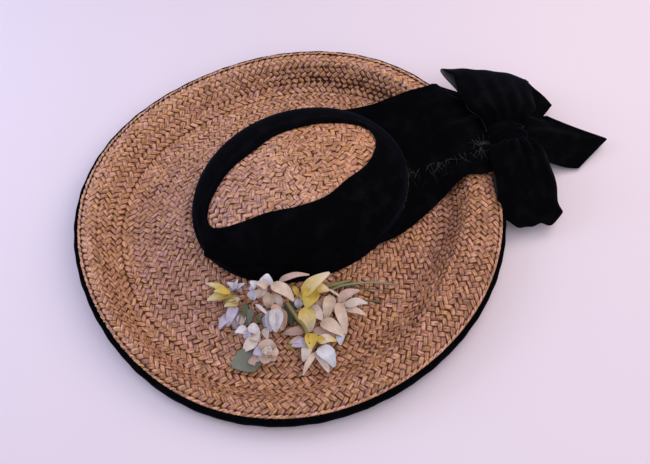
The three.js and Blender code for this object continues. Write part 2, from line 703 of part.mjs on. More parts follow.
// Height that a body can sink by before it meets another straight below it
function fallRoom(body, support) {
  const upper = { points: pointsOf(body), faces: trianglesOf(body) };
  const lower = { points: pointsOf(support), faces: trianglesOf(support) };
  const box = new THREE.Box3().setFromPoints(upper.points);
  const near = lower.faces.filter((face) => {
    const part = new THREE.Box3().setFromPoints(face.map((corner) => lower.points[corner]));
    return part.min.x < box.max.x && part.max.x > box.min.x && part.min.y < box.max.y && part.max.y > box.min.y;
  });
  const nearPoints = [...new Set(near.flat())].map((corner) => lower.points[corner]);
  let room = Infinity;
  for (const point of upper.points) {
    for (const face of near) {
      const height = heightInFace(point, face.map((corner) => lower.points[corner]));
      if (height !== null) room = Math.min(room, point.z - height);
    }
  }
  for (const face of upper.faces) {
    const corners = face.map((corner) => upper.points[corner]);
    for (const point of nearPoints) {
      const height = heightInFace(point, corners);
      if (height !== null) room = Math.min(room, height - point.z);
    }
  }
  for (const [from, to] of edgesOf(upper.faces)) {
    for (const [start, end] of edgesOf(near)) {
      const drop = edgeDrop(upper.points[from], upper.points[to], lower.points[start], lower.points[end]);
      if (drop !== null) room = Math.min(room, drop);
    }
  }
  return room;
}

function edgesOf(faces) {
  const edges = new Map();
  for (const face of faces) {
    for (let side = 0; side < 3; side += 1) {
      const pair = [face[side], face[(side + 1) % 3]].sort((one, other) => one - other);
      edges.set(pair.join(' '), pair);
    }
  }
  return [...edges.values()];
}

// Height of a face over or under a point, or null where the point lies beside it in plan
function heightInFace(point, [a, b, c]) {
  const whole = (b.x - a.x) * (c.y - a.y) - (c.x - a.x) * (b.y - a.y);
  if (Math.abs(whole) < 1e-9) return null;
  const shareB = ((point.x - a.x) * (c.y - a.y) - (c.x - a.x) * (point.y - a.y)) / whole;
  const shareC = ((b.x - a.x) * (point.y - a.y) - (point.x - a.x) * (b.y - a.y)) / whole;
  if (shareB < 0 || shareC < 0 || shareB + shareC > 1) return null;
  return a.z + shareB * (b.z - a.z) + shareC * (c.z - a.z);
}

// Height between two edges where they cross in plan, or null where they don't
function edgeDrop(from, to, start, end) {
  const along = { x: to.x - from.x, y: to.y - from.y };
  const other = { x: end.x - start.x, y: end.y - start.y };
  const cross = along.x * other.y - along.y * other.x;
  if (Math.abs(cross) < 1e-9) return null;
  const offset = { x: start.x - from.x, y: start.y - from.y };
  const shareFirst = (offset.x * other.y - offset.y * other.x) / cross;
  const shareSecond = (offset.x * along.y - offset.y * along.x) / cross;
  if (shareFirst < 0 || shareFirst > 1 || shareSecond < 0 || shareSecond > 1) return null;
  return mix(from.z, to.z, shareFirst) - mix(start.z, end.z, shareSecond);
}

// Lays a body down from above until it is one gap clear of all that carries it
function laidOn(body, supports) {
  body.translate(0, 0, CROWN_FOOT + CROWN_RISE + BRIM_RISE + PETAL_LENGTH);
  const rooms = supports.map((support) => fallRoom(body, support));
  body.translate(0, 0, GAP - Math.min(...rooms));
  return body;
}

function placedOnBrim(body, angle, out) {
  const turn = degrees(angle);
  const plan = brimPlan(insetAtCrown(turn, GAP) * (1 - out), turn);
  return body.translate(plan.x, plan.y, 0);
}

// Leaves: one wide petal each. Lengths as shares of LEAF_LENGTH
const LEAVES = [
  { name: 'leaf_round', angle: -141, out: 0.6, heading: 215, length: 1, width: 1.04, rise: 6 },
  { name: 'leaf_dark', angle: -124, out: 0.22, heading: 285, length: 1, width: 0.46, rise: 12 },
];
const LEAF_SHAPE = { root: 0, cup: 0.08, blunt: 0.8, rows: 3, columns: 3 };

// Stems: from one place on the brim to another, as straight wires wrapped in green
const STEMS = [
  { name: 'stem_pale', fromAngle: -104, fromOut: 0.1, toAngle: -78, toOut: 0.3 },
  { name: 'stem_olive', fromAngle: -106, fromOut: 0.07, toAngle: -93, toOut: 0.13 },
  { name: 'stem_dark', fromAngle: -98, fromOut: 0.16, toAngle: -87, toOut: 0.33 },
];

function leafBody(row) {
  const sizes = { length: row.length * LEAF_LENGTH, width: row.width * LEAF_LENGTH, wall: PETAL_WALL };
  const leaf = petalBody({ ...LEAF_SHAPE, ...sizes, rise: row.rise, curl: row.rise });
  return leaf.rotateZ(degrees(row.heading));
}

function stemBody(row) {
  const place = (angle, out) => {
    const turn = degrees(angle);
    return brimPoint(insetAtCrown(turn, GAP) * (1 - out), turn, STEM_RADIUS);
  };
  const from = place(row.fromAngle, row.fromOut);
  const to = place(row.toAngle, row.toOut);
  const section = new THREE.Shape();
  for (let side = 0; side < 6; side += 1) {
    const turn = (side / 6) * 2 * Math.PI;
    const corner = [STEM_RADIUS * Math.cos(turn), STEM_RADIUS * Math.sin(turn)];
    if (side === 0) section.moveTo(...corner);
    else section.lineTo(...corner);
  }
  section.closePath();
  const middle = from.clone().lerp(to, 0.5);
  middle.z += STEM_ARCH;
  const path = new THREE.CatmullRomCurve3([from, middle, to]);
  const tube = new THREE.ExtrudeGeometry(section, { extrudePath: path, steps: 5 });
  tube.deleteAttribute('normal');
  tube.deleteAttribute('uv');
  const merged = mergeVertices(tube, 1e-4);
  return closedBody(pointsOf(merged), trianglesOf(merged));
}

// Finishes
const finish = (color, roughness) => new THREE.MeshStandardMaterial({ color, roughness, metalness: 0 });
const FINISHES = {
  straw: finish(0xb9905f, 0.6),
  velvet: finish(0x0b0a0e, 0.95),
  cream: finish(0xd9cbb4, 0.85),
  yellow: finish(0xd8c878, 0.85),
  lilac: finish(0xc9c6d6, 0.85),
  green: finish(0x6e7350, 0.85),
};
const BLOSSOM_FINISH = { lily: 'yellow', star: 'cream', cluster: 'lilac', rose: 'cream', bud: 'cream' };

const hat = new THREE.Group();

function addPiece(name, geometry, finishName) {
  geometry.computeVertexNormals();
  const mesh = new THREE.Mesh(geometry, FINISHES[finishName].clone());
  mesh.name = name;
  hat.add(mesh);
  return geometry;
}

addPiece('crown', crownGeometry(), 'straw');
const brim = addPiece('brim', brimGeometry(), 'straw');
addPiece('edge_binding', bindingGeometry(), 'velvet');
const band = addPiece('crown_band', bandGeometry(), 'velvet');

const knotClear = knotGeometry(GAP);
addPiece('bow_knot', knotGeometry(0), 'velvet');
addPiece('sash', cutBy(sashGeometry(), [knotClear]), 'velvet');
for (const [name, loop] of Object.entries(LOOPS)) {
  addPiece(name, cutBy(loopGeometry(loop), [knotClear]), 'velvet');
}
for (const [name, tail] of Object.entries(TAILS)) {
  addPiece(name, cutBy(tailGeometry(tail), [knotClear]), 'velvet');
}

const supports = [brim, band];
for (const row of LEAVES) {
  const leaf = laidOn(placedOnBrim(leafBody(row), row.angle, row.out), supports);
  supports.push(addPiece(row.name, leaf, 'green'));
}
for (const row of STEMS) {
  supports.push(addPiece(row.name, laidOn(stemBody(row), supports), 'green'));
}
for (const row of BLOSSOMS) {
  const blossom = laidOn(placedOnBrim(blossomBody(row), row.angle, row.out), supports);
  supports.push(addPiece(row.name, blossom, BLOSSOM_FINISH[row.kind]));
}

// Origin at the middle of the box, on the surface below
const box = new THREE.Box3().setFromObject(hat);
const part = new THREE.Group();
hat.position.set(-(box.min.x + box.max.x) / 2, -(box.min.y + box.max.y) / 2, -box.min.z);
part.add(hat);

export default part;
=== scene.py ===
"""Wide-brimmed hat of plaited straw, with a black velvet band, edge, sash and bow and a posy of cloth flowers.

The hat lies crown up on a pale table. Its forms are worked out in millimetres in the hat's own frame: the origin is
under the middle of the crown on the table, +X is the hat's back and -Y its near side. ``Placing`` turns them into the
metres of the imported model.
"""
import logging
import math
from collections.abc import Callable, Sequence
from dataclasses import dataclass, field
from enum import Enum

import bpy
import numpy as np
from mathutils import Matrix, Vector


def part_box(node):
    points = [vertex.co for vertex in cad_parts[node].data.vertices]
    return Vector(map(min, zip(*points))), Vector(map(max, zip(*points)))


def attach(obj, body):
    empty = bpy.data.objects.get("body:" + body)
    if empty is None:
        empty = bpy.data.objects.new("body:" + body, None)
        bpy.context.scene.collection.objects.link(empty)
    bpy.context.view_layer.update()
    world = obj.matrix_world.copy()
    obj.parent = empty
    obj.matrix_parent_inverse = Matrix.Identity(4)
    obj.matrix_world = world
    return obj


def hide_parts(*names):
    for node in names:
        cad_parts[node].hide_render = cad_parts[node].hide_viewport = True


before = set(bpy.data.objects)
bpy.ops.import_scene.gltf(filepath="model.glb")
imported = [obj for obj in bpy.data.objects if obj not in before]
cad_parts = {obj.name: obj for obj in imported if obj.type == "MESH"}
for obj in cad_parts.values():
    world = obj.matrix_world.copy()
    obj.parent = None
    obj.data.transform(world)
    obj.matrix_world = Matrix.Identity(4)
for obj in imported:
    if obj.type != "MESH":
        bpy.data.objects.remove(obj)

log = logging.getLogger("straw_hat")

MM = 0.001
FULL_TURN = 2 * math.pi
TINY = 1e-9

Surface = Callable[[np.ndarray, np.ndarray, np.ndarray], np.ndarray]


def linear(hex_colour: str) -> tuple[float, float, float, float]:
    """Turns an sRGB hex colour into the linear values that a shader reads.

    Args:
        hex_colour: Six hex digits after a hash.

    Returns:
        Red, green, blue and an alpha of one.
    """
    values = [int(hex_colour[place : place + 2], 16) / 255 for place in (1, 3, 5)]
    straight = [v / 12.92 if v <= 0.04045 else ((v + 0.055) / 1.055) ** 2.4 for v in values]
    return (straight[0], straight[1], straight[2], 1.0)


def ease(share: np.ndarray) -> np.ndarray:
    """Smooth step from 0 to 1."""
    held = np.clip(share, 0.0, 1.0)
    return held * held * (3 - 2 * held)


def bell(value: np.ndarray, middle: float | np.ndarray, spread: float) -> np.ndarray:
    """Soft bump of height 1 round a middle value."""
    return np.exp(-(((value - middle) / spread) ** 2))


def mix(one: np.ndarray, other: np.ndarray, share: np.ndarray) -> np.ndarray:
    """One value at a share of 0, the other at 1."""
    return one * (1 - share) + other * share


def unit(vectors: np.ndarray) -> np.ndarray:
    """Vectors scaled to a length of 1."""
    return vectors / np.maximum(np.linalg.norm(vectors, axis=-1, keepdims=True), TINY)


def smooth_between(
    before: np.ndarray, here: np.ndarray, after: np.ndarray, beyond: np.ndarray, share: np.ndarray
) -> np.ndarray:
    """Smooth curve from one value to the next that also leans on the values outside them."""
    slope_in, slope_out = (after - before) / 2, (beyond - here) / 2
    cubic = 2 * here - 2 * after + slope_in + slope_out
    square = 3 * after - 3 * here - 2 * slope_in - slope_out
    return ((cubic * share + square) * share + slope_in) * share + here


def around(values: Sequence[float], angle: np.ndarray) -> np.ndarray:
    """Reads a closed column with equal steps of angle, smoothly.

    Args:
        values: The column, from angle zero round to the last step before a full turn.
        angle: Angles in radians.

    Returns:
        The column's value at each angle.
    """
    column = np.asarray(values, float)
    count = len(column)
    place = np.mod(angle / FULL_TURN * count, count)
    index = np.floor(place).astype(int)
    four = (column[(index + step) % count] for step in (-1, 0, 1, 2))
    return smooth_between(*four, place - index)


def along(values: np.ndarray, place: np.ndarray) -> np.ndarray:
    """Reads rows of points smoothly between their ends.

    Args:
        values: Rows of numbers or points.
        place: Places from 0 to 1, from the first row to the last.

    Returns:
        One row for each place.
    """
    rows = np.asarray(values, float)
    last = len(rows) - 1
    spot = np.clip(place, 0.0, 1.0) * last
    index = np.minimum(np.floor(spot).astype(int), last - 1)
    share = (spot - index).reshape((-1,) + (1,) * (rows.ndim - 1))
    four = (rows[np.clip(index + step, 0, last)] for step in (-1, 0, 1, 2))
    return smooth_between(*four, share)


class Placing:
    """Turns the hat frame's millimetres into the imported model's metres."""

    def __init__(self) -> None:
        """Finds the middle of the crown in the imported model."""
        low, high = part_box("crown")
        self.origin = np.array([(low.x + high.x) / 2, (low.y + high.y) / 2, 0.0])

    def metres(self, points: np.ndarray) -> np.ndarray:
        """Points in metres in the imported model's frame."""
        return np.asarray(points, float).reshape(-1, 3) * MM + self.origin


PLACING = Placing()


class Slot(Enum):
    """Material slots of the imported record."""

    STRAW = "straw"
    VELVET = "velvet"
    CREAM = "cream_cloth"
    YELLOW = "yellow_cloth"
    LILAC = "lilac_cloth"
    GREEN = "green_cloth"


def add_object(name: str, data: bpy.types.ID) -> bpy.types.Object:
    """Puts a new object into the scene."""
    thing = bpy.data.objects.new(name, data)
    bpy.context.scene.collection.objects.link(thing)
    return thing


def turn_to(thing: bpy.types.Object, direction: Vector) -> None:
    """Turns a camera or a light to look in a direction."""
    thing.rotation_mode = "QUATERNION"
    thing.rotation_quaternion = direction.to_track_quat("-Z", "Y")


@dataclass
class Piece:
    """A visible piece of the hat, made from points in millimetres."""

    name: str
    points: np.ndarray
    faces: list[tuple[int, ...]]
    materials: list[bpy.types.Material]
    face_material: np.ndarray | None = None
    values: dict[str, np.ndarray] = field(default_factory=dict)
    sharp_degrees: float = 60.0

    def build(self, slot: Slot, replaces: Sequence[str]) -> bpy.types.Object:
        """Makes the object and puts it on the hat's one body.

        Args:
            slot: The record's material slot; not used.
            replaces: The solids that the piece stands for.

        Returns:
            The new object.
        """
        mesh = bpy.data.meshes.new(self.name)
        mesh.from_pydata(PLACING.metres(self.points).tolist(), [], self.faces)
        for material in self.materials:
            mesh.materials.append(material)
        if self.face_material is not None:
            mesh.polygons.foreach_set("material_index", self.face_material.astype(np.int32))
        for name, data in self.values.items():
            self._add_value(mesh, name, np.asarray(data, np.float32))
        mesh.shade_smooth()
        mesh.set_sharp_from_angle(angle=math.radians(self.sharp_degrees))
        piece = add_object(self.name, mesh)
        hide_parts(*replaces)
        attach(piece, "root")
        log.info("%s: %d points, %d faces", self.name, len(mesh.vertices), len(mesh.polygons))
        return piece

    @staticmethod
    def _add_value(mesh: bpy.types.Mesh, name: str, data: np.ndarray) -> None:
        """Writes one value, three numbers or a colour for each point."""
        kinds = {1: ("FLOAT", "value"), 3: ("FLOAT_VECTOR", "vector"), 4: ("FLOAT_COLOR", "color")}
        kind, key = kinds[1 if data.ndim == 1 else data.shape[1]]
        store = mesh.attributes.new(name, kind, "POINT")
        store.data.foreach_set(key, data.ravel())


def grid_faces(rows: int, columns: int, closed: bool = False) -> list[tuple[int, ...]]:
    """Faces between the rows of a grid of points, which may close on itself across its columns."""
    step = columns if closed else columns - 1
    row, column = np.meshgrid(np.arange(rows - 1), np.arange(step), indexing="ij")
    beside = (column + 1) % columns
    quads = np.stack(
        [row * columns + column, (row + 1) * columns + column, (row + 1) * columns + beside, row * columns + beside], -1
    )
    return [tuple(quad) for quad in quads.reshape(-1, 4).tolist()]


def grid_normals(grid: np.ndarray, closed: bool = False) -> np.ndarray:
    """Unit normals of a grid of points, rows by columns, which may be closed across its columns."""
    down = np.gradient(grid, axis=0)
    if closed:
        across = np.roll(grid, -1, axis=1) - np.roll(grid, 1, axis=1)
    else:
        across = np.gradient(grid, axis=1)
    return unit(np.cross(down, across))


def end_caps(rows: int, columns: int) -> list[tuple[int, ...]]:
    """Faces that close the first and the last ring of a grid that is closed across its columns."""
    return [tuple(range(columns)), tuple(range((rows - 1) * columns, rows * columns))[::-1]]


@dataclass(frozen=True)
class ClothWall:
    """A sheet of even thickness through a grid: face side first, then the back, then the rim."""

    grid: np.ndarray
    thickness: float
    closed: bool = False

    def points(self) -> np.ndarray:
        """Points of the face side and then of the back."""
        lift = grid_normals(self.grid, self.closed) * (self.thickness / 2)
        return np.concatenate([(self.grid + lift).reshape(-1, 3), (self.grid - lift).reshape(-1, 3)])

    def faces(self) -> tuple[list[tuple[int, ...]], np.ndarray]:
        """Faces, and 0 for the face side and the rim or 1 for the back."""
        rows, columns = self.grid.shape[:2]
        count = rows * columns
        face = grid_faces(rows, columns, self.closed)
        back = [tuple(reversed([corner + count for corner in quad])) for quad in face]
        if self.closed:
            first = [(column, (column + 1) % columns) for column in range(columns)]
            last = [(b + (rows - 1) * columns, a + (rows - 1) * columns) for a, b in first]
            border = first + last
        else:
            loop = list(range(columns - 1))
            loop += [row * columns + columns - 1 for row in range(rows - 1)]
            loop += [(rows - 1) * columns + column for column in range(columns - 1, 0, -1)]
            loop += [row * columns for row in range(rows - 1, 0, -1)]
            border = list(zip(loop, loop[1:] + loop[:1]))
        rim = [(a, b, b + count, a + count) for a, b in border]
        kinds = np.array([0] * len(face) + [1] * len(back) + [0] * len(rim))
        return face + back + rim, kinds

    def piece(self, name: str, materials: list[bpy.types.Material]) -> Piece:
        """The sheet as a piece with a face material and a back material."""
        faces, kinds = self.faces()
        kinds = np.minimum(kinds, len(materials) - 1)
        return Piece(name, self.points(), faces, materials, kinds)

    def cut_area(self) -> float:
        """Area of the cloth in square metres."""
        grid = self.grid if not self.closed else np.concatenate([self.grid, self.grid[:, :1]], axis=1)
        one = np.cross(grid[1:, 1:] - grid[:-1, :-1], grid[1:, :-1] - grid[:-1, 1:])
        return float(np.linalg.norm(one, axis=-1).sum() / 2) * MM * MM


def ring_body(rings: np.ndarray) -> list[tuple[int, ...]]:
    """Faces of a body lofted through rings that go once round its section."""
    rows, columns = rings.shape[:2]
    faces = grid_faces(rows, columns, closed=True)
    last = (rows - 1) * columns
    for column in range(columns):
        beside = (column + 1) % columns
        faces.append((last + column, column, beside, last + beside))
    return faces


def tube(
    path: np.ndarray, radius: float, taper: float, steps: int = 26, sides: int = 8
) -> tuple[np.ndarray, list[tuple[int, ...]]]:
    """A round wire or thread, closed at both ends.

    Args:
        path: A few points in millimetres that it passes smoothly.
        radius: Its radius at the start.
        taper: Share of the radius that is left at its end.
        steps: Rings along it.
        sides: Points in each ring.

    Returns:
        Its points and faces.
    """
    line = along(path, np.linspace(0, 1, steps))
    ahead = unit(np.gradient(line, axis=0))
    side = unit(np.cross(ahead, [0.0, 0.0, 1.0]))
    up = np.cross(side, ahead)
    turn = np.linspace(0, FULL_TURN, sides, endpoint=False)
    width = radius * np.linspace(1, taper, steps)[:, None, None]
    ring = side[:, None] * np.cos(turn)[None, :, None] + up[:, None] * np.sin(turn)[None, :, None]
    faces = [face[::-1] for face in grid_faces(steps, sides, closed=True)] + end_caps(steps, sides)
    return (line[:, None] + ring * width).reshape(-1, 3), faces


@dataclass
class Parts:
    """Points, faces and one value for each point, gathered from several bodies into one piece."""

    points: list[np.ndarray] = field(default_factory=list)
    faces: list[tuple[int, ...]] = field(default_factory=list)
    values: list[np.ndarray] = field(default_factory=list)

    def add(self, points: np.ndarray, faces: list[tuple[int, ...]], values: np.ndarray | None = None) -> None:
        """Adds one body behind those already there."""
        count = sum(len(part) for part in self.points)
        self.points.append(points)
        self.faces += [tuple(corner + count for corner in face) for face in faces]
        if values is not None:
            self.values.append(values)


@dataclass(frozen=True)
class BrimForm:
    """Outline and section of the straw brim."""

    length: float = 387.0
    width: float = 374.0
    forward: float = 20.0
    sideways: float = 15.0
    rise: float = 30.0
    rest_band: float = 8.0
    wall: float = 3.0
    drift: float = 0.84
    crown_length: float = 206.0
    crown_width: float = 168.0
    crown_foot: float = 9.0
    gap: float = 0.3
    halvings: int = 40

    # Columns for each 30 degrees from the back: heights as shares of rise, insets as shares of half the width
    rim: tuple[float, ...] = (1.017, 1.083, 0.99, 0.863, 0.853, 0.863, 0.717, 0.513, 0.483, 0.63, 0.777, 0.887)
    groove: tuple[float, ...] = (0.225, 0.193, 0.177, 0.214, 0.235, 0.225, 0.155, 0.139, 0.171, 0.278, 0.321, 0.278)
    shoulder: tuple[float, ...] = (0.118, 0.096, 0.064, 0.064, 0.064, 0.054, 0.048, 0.048, 0.054, 0.118, 0.203, 0.16)
    crest: tuple[float, ...] = (0.05, 0.05, 0.05, 0.083, 0.117, 0.133, 0.133, 0.133, 0.133, 0.1, 0.05, 0.033)
    valley: tuple[float, ...] = (0.13, 0.07, 0.0, 0.0, 0.0, 0.0, 0.0, 0.0, 0.0, 0.0, 0.07, 0.13)
    # Slow waves of the edge in plan: waves, cosine share, sine share
    waves: tuple[tuple[int, float, float], ...] = ((2, -0.0023, 0.0136), (3, 0.0083, 0.0041), (4, -0.0063, 0.0032))

    def plan(self, inset: np.ndarray, angle: np.ndarray) -> np.ndarray:
        """Plan points at a distance inward from the straw edge."""
        crown_inset = (self.length + self.width - self.crown_length - self.crown_width) / 4
        drift = 1 - inset / crown_inset * self.drift
        fade = np.clip(1 - inset / crown_inset, 0.0, 1.0)
        wave = 1 + fade * sum(c * np.cos(n * angle) + s * np.sin(n * angle) for n, c, s in self.waves)
        x = -self.forward * drift + (self.length / 2 - inset) * wave * np.cos(angle)
        y = -self.sideways * drift + (self.width / 2 - inset) * wave * np.sin(angle)
        return np.stack([x, y], -1)

    def crown_inset(self, angle: np.ndarray, clearance: float) -> np.ndarray:
        """Inset at which the brim meets an oval round the crown."""
        low = np.zeros_like(angle)
        high = np.full_like(angle, self.width / 2)
        for _ in range(self.halvings):
            middle = (low + high) / 2
            point = self.plan(middle, angle)
            across = (point[..., 0] / (self.crown_length / 2 + clearance)) ** 2
            across += (point[..., 1] / (self.crown_width / 2 + clearance)) ** 2
            low = np.where(across > 1, middle, low)
            high = np.where(across > 1, high, middle)
        return (low + high) / 2

    def top(self, inset: np.ndarray, angle: np.ndarray) -> np.ndarray:
        """Height of the brim's upper face."""
        half = self.width / 2
        rim, crest = around(self.rim, angle) * self.rise, around(self.crest, angle) * self.rise
        low = np.maximum(around(self.valley, angle) * self.rise, 0.0) + self.wall
        groove, shoulder = around(self.groove, angle) * half, around(self.shoulder, angle) * half
        crown = self.crown_inset(angle, self.gap)
        band = self.rest_band / 2
        inner = ease((inset - groove - band) / (crown - groove - band))
        slope = np.clip((groove - band - inset) / (groove - band - shoulder), 0.0, 1.0)
        outer = 0.5 * slope + 0.5 * ease(slope)
        roll = np.clip((shoulder - inset) / shoulder, 0.0, 1.0)
        inside = low + (self.crown_foot + self.wall - low) * inner
        outside = low + (rim + crest - low) * outer - crest * roll**2
        return np.where(inset > groove, inside, outside)

    def point(self, inset: np.ndarray, angle: np.ndarray, lift: float = 0.0) -> np.ndarray:
        """Points on the upper face, lifted straight up."""
        inset, angle = np.broadcast_arrays(np.asarray(inset, float), np.asarray(angle, float))
        height = self.top(np.maximum(inset, 0.0), angle) + lift
        return np.concatenate([self.plan(inset, angle), height[..., None]], -1)


@dataclass(frozen=True)
class CrownForm:
    """The oval dome of the crown, measured outside."""

    length: float = 206.0
    width: float = 168.0
    rise: float = 53.0
    foot: float = 9.0
    wall: float = 3.0
    # Side view from the foot to the tip: share of the plan radius, share of the rise
    profile: tuple[tuple[float, float], ...] = (
        (1.0, 0.0), (0.993, 0.15), (0.975, 0.34), (0.938, 0.51), (0.87, 0.675),
        (0.76, 0.8), (0.58, 0.9), (0.3, 0.968), (0.0, 1.0),
    )

    def point(self, share: np.ndarray, angle: np.ndarray, offset: np.ndarray | float = 0.0) -> np.ndarray:
        """Points at a share of the way from the foot to the tip, pushed outward."""
        share, angle, offset = (np.asarray(v, float) for v in np.broadcast_arrays(share, angle, offset))
        flat = share.ravel()
        rows = along(self.profile, flat)
        step = 0.5 / (len(self.profile) - 1)
        slope = along(self.profile, flat + step) - along(self.profile, flat - step)
        mean = (self.length + self.width) / 4
        normal = unit(np.stack([slope[:, 1] * self.rise, -slope[:, 0] * mean], -1))
        turn = angle.ravel()
        out = unit(np.stack([np.cos(turn) / self.length, np.sin(turn) / self.width], -1))
        radius = np.maximum(rows[:, 0], 0.0)
        push = offset.ravel()
        x = self.length / 2 * radius * np.cos(turn) + out[:, 0] * push * normal[:, 0]
        y = self.width / 2 * radius * np.sin(turn) + out[:, 1] * push * normal[:, 0]
        z = self.foot + self.rise * rows[:, 1] + push * normal[:, 1]
        return np.stack([x, y, z], -1).reshape(share.shape + (3,))

    def share_at_radius(self, radius: np.ndarray) -> np.ndarray:
        """Share of the way to the tip at which the dome narrows to a share of its plan radius."""
        steps = np.linspace(0, 1, 400)
        widths = along(self.profile, steps)[:, 0]
        return np.interp(-np.asarray(radius, float), -widths, steps)


BRIM = BrimForm()
CROWN = CrownForm()


def add_node(
    tree: bpy.types.NodeTree,
    kind: str,
    settings: dict[str, object] | None = None,
    inputs: dict[str | int, object] | None = None,
    links: dict[str | int, bpy.types.NodeSocket] | None = None,
) -> bpy.types.Node:
    """Adds a shader node with its settings, values and links.

    Args:
        tree: The material's node tree.
        kind: Blender's name for the kind of node.
        settings: Node settings by name.
        inputs: Values for sockets, by name or place.
        links: Sockets to link from, by the name or place of the socket to link to.

    Returns:
        The new node.
    """
    node = tree.nodes.new(kind)
    for name, value in (settings or {}).items():
        setattr(node, name, value)
    for name, value in (inputs or {}).items():
        node.inputs[name].default_value = value
    for name, source in (links or {}).items():
        tree.links.new(source, node.inputs[name])
    return node


def new_material(name: str) -> tuple[bpy.types.Material, bpy.types.NodeTree, bpy.types.Node]:
    """An empty material with its surface shader, which is not yet set."""
    material = bpy.data.materials.new(name)
    material.use_nodes = True
    tree = material.node_tree
    tree.nodes.clear()
    shader = add_node(tree, "ShaderNodeBsdfPrincipled")
    add_node(tree, "ShaderNodeOutputMaterial", links={"Surface": shader.outputs[0]})
    return material, tree, shader


@dataclass(frozen=True)
class SplitStraw:
    """Palm straw, split into flat strands about 4.5 mm wide and plaited: glossy skin with long fibres."""

    name: str = "split palm straw, plaited"
    # The two darkest stops are painted shade, in the plait's crevices and at the strands' rims; the lighter ones are
    # the straw's own tones, lifted in places by painted light
    deep_shade: str = "#38200f"
    shade: str = "#835a42"
    body: str = "#bd8e77"
    bright: str = "#e3bdad"
    # Cool and warm tints, mostly painted light from the cool and the warm lamp
    cool_tint: str = "#d2c8de"
    warm_tint: str = "#ddc298"
    yellowed: str = "#f8edbe"
    pinkish: str = "#fbeef4"
    # Real fibres are a few tenths of a millimetre wide, and are drawn as coarse as the render can show
    fibre_mm: float = 1.5
    fibre_run_mm: float = 4.5
    ridge_mm: float = 0.3
    patch_mm: float = 5.0
    shade_stop: float = 0.22
    body_stop: float = 0.5
    noise_span: tuple[float, float] = (0.38, 0.62)
    streak_span: tuple[float, float] = (0.42, 1.32)
    roughness: float = 0.4
    ior: float = 1.48

    def build(self) -> bpy.types.Material:
        """Each strand has its own tone, with fibres along it that show as streaks and fine ridges."""
        low, high = self.noise_span
        dark, light = self.streak_span
        material, tree, shader = new_material(self.name)
        run = add_node(tree, "ShaderNodeAttribute", {"attribute_name": "straw_run"})
        tone = add_node(tree, "ShaderNodeAttribute", {"attribute_name": "straw_tone_and_painted_light"})
        cool_warm_tint = add_node(tree, "ShaderNodeAttribute", {"attribute_name": "straw_cool_warm_tint"})
        # The tone picks the colour; painted shade and painted light are already in it
        ramp = add_node(tree, "ShaderNodeValToRGB", links={"Fac": tone.outputs["Fac"]})
        ramp.color_ramp.elements[0].color = linear(self.deep_shade)
        ramp.color_ramp.elements[1].color = linear(self.bright)
        ramp.color_ramp.elements.new(self.shade_stop).color = linear(self.shade)
        ramp.color_ramp.elements.new(self.body_stop).color = linear(self.body)
        stretch = add_node(
            tree, "ShaderNodeVectorMath", {"operation": "MULTIPLY"},
            {1: (1 / self.fibre_run_mm, 1 / self.fibre_mm, 1.0)}, {0: run.outputs["Vector"]},
        )
        fibres = add_node(
            tree, "ShaderNodeTexNoise", inputs={"Scale": 1.0, "Detail": 3.0, "Roughness": 0.6},
            links={"Vector": stretch.outputs[0]},
        )
        streaks = add_node(
            tree, "ShaderNodeMapRange",
            inputs={"From Min": low, "From Max": high, "To Min": dark, "To Max": light},
            links={"Value": fibres.outputs["Fac"]},
        )
        place = add_node(tree, "ShaderNodeTexCoord")
        patches = add_node(
            tree, "ShaderNodeTexNoise", inputs={"Scale": 1 / (self.patch_mm * MM), "Detail": 2.0},
            links={"Vector": place.outputs["Object"]},
        )
        hue = add_node(tree, "ShaderNodeValToRGB", links={"Fac": patches.outputs["Fac"]})
        hue.color_ramp.elements[0].position, hue.color_ramp.elements[1].position = low, high
        hue.color_ramp.elements[0].color = linear(self.yellowed)
        hue.color_ramp.elements[1].color = linear(self.pinkish)
        streaked = add_node(
            tree, "ShaderNodeMix", {"data_type": "RGBA", "blend_type": "MULTIPLY"}, {0: 1.0},
            {6: ramp.outputs[0], 7: streaks.outputs[0]},
        )
        dyed = add_node(
            tree, "ShaderNodeMix", {"data_type": "RGBA", "blend_type": "MULTIPLY"}, {0: 1.0},
            {6: streaked.outputs[2], 7: hue.outputs[0]},
        )
        # Cool tint where the value is above zero and warm tint where it is below: mostly painted light
        cooled = add_node(
            tree, "ShaderNodeMix", {"data_type": "RGBA", "blend_type": "MULTIPLY"}, {7: linear(self.cool_tint)},
            {0: cool_warm_tint.outputs["Fac"], 6: dyed.outputs[2]},
        )
        warmth = add_node(
            tree, "ShaderNodeMath", {"operation": "MULTIPLY"}, {1: -1.0}, {0: cool_warm_tint.outputs["Fac"]}
        )
        cool_warm_tinted = add_node(
            tree, "ShaderNodeMix", {"data_type": "RGBA", "blend_type": "MULTIPLY"}, {7: linear(self.warm_tint)},
            {0: warmth.outputs[0], 6: cooled.outputs[2]},
        )
        ridges = add_node(
            tree, "ShaderNodeBump", inputs={"Strength": 0.8, "Distance": self.ridge_mm * MM},
            links={"Height": fibres.outputs["Fac"]},
        )
        tree.links.new(cool_warm_tinted.outputs[2], shader.inputs["Base Color"])
        tree.links.new(ridges.outputs[0], shader.inputs["Normal"])
        shader.inputs["Roughness"].default_value = self.roughness
        shader.inputs["IOR"].default_value = self.ior
        return material


@dataclass(frozen=True)
class StrawShade:
    """The strands that lie deep in the plait, in the shade of those above."""

    name: str = "straw deep in the plait"
    colour: str = "#55321b"

    def build(self) -> bpy.types.Material:
        """Dull brown, a painted shade, with its gloss turned down as if no light reached it."""
        material, _, shader = new_material(self.name)
        shader.inputs["Base Color"].default_value = linear(self.colour)
        shader.inputs["Roughness"].default_value = 0.9
        shader.inputs["Specular IOR Level"].default_value = 0.1
        return material


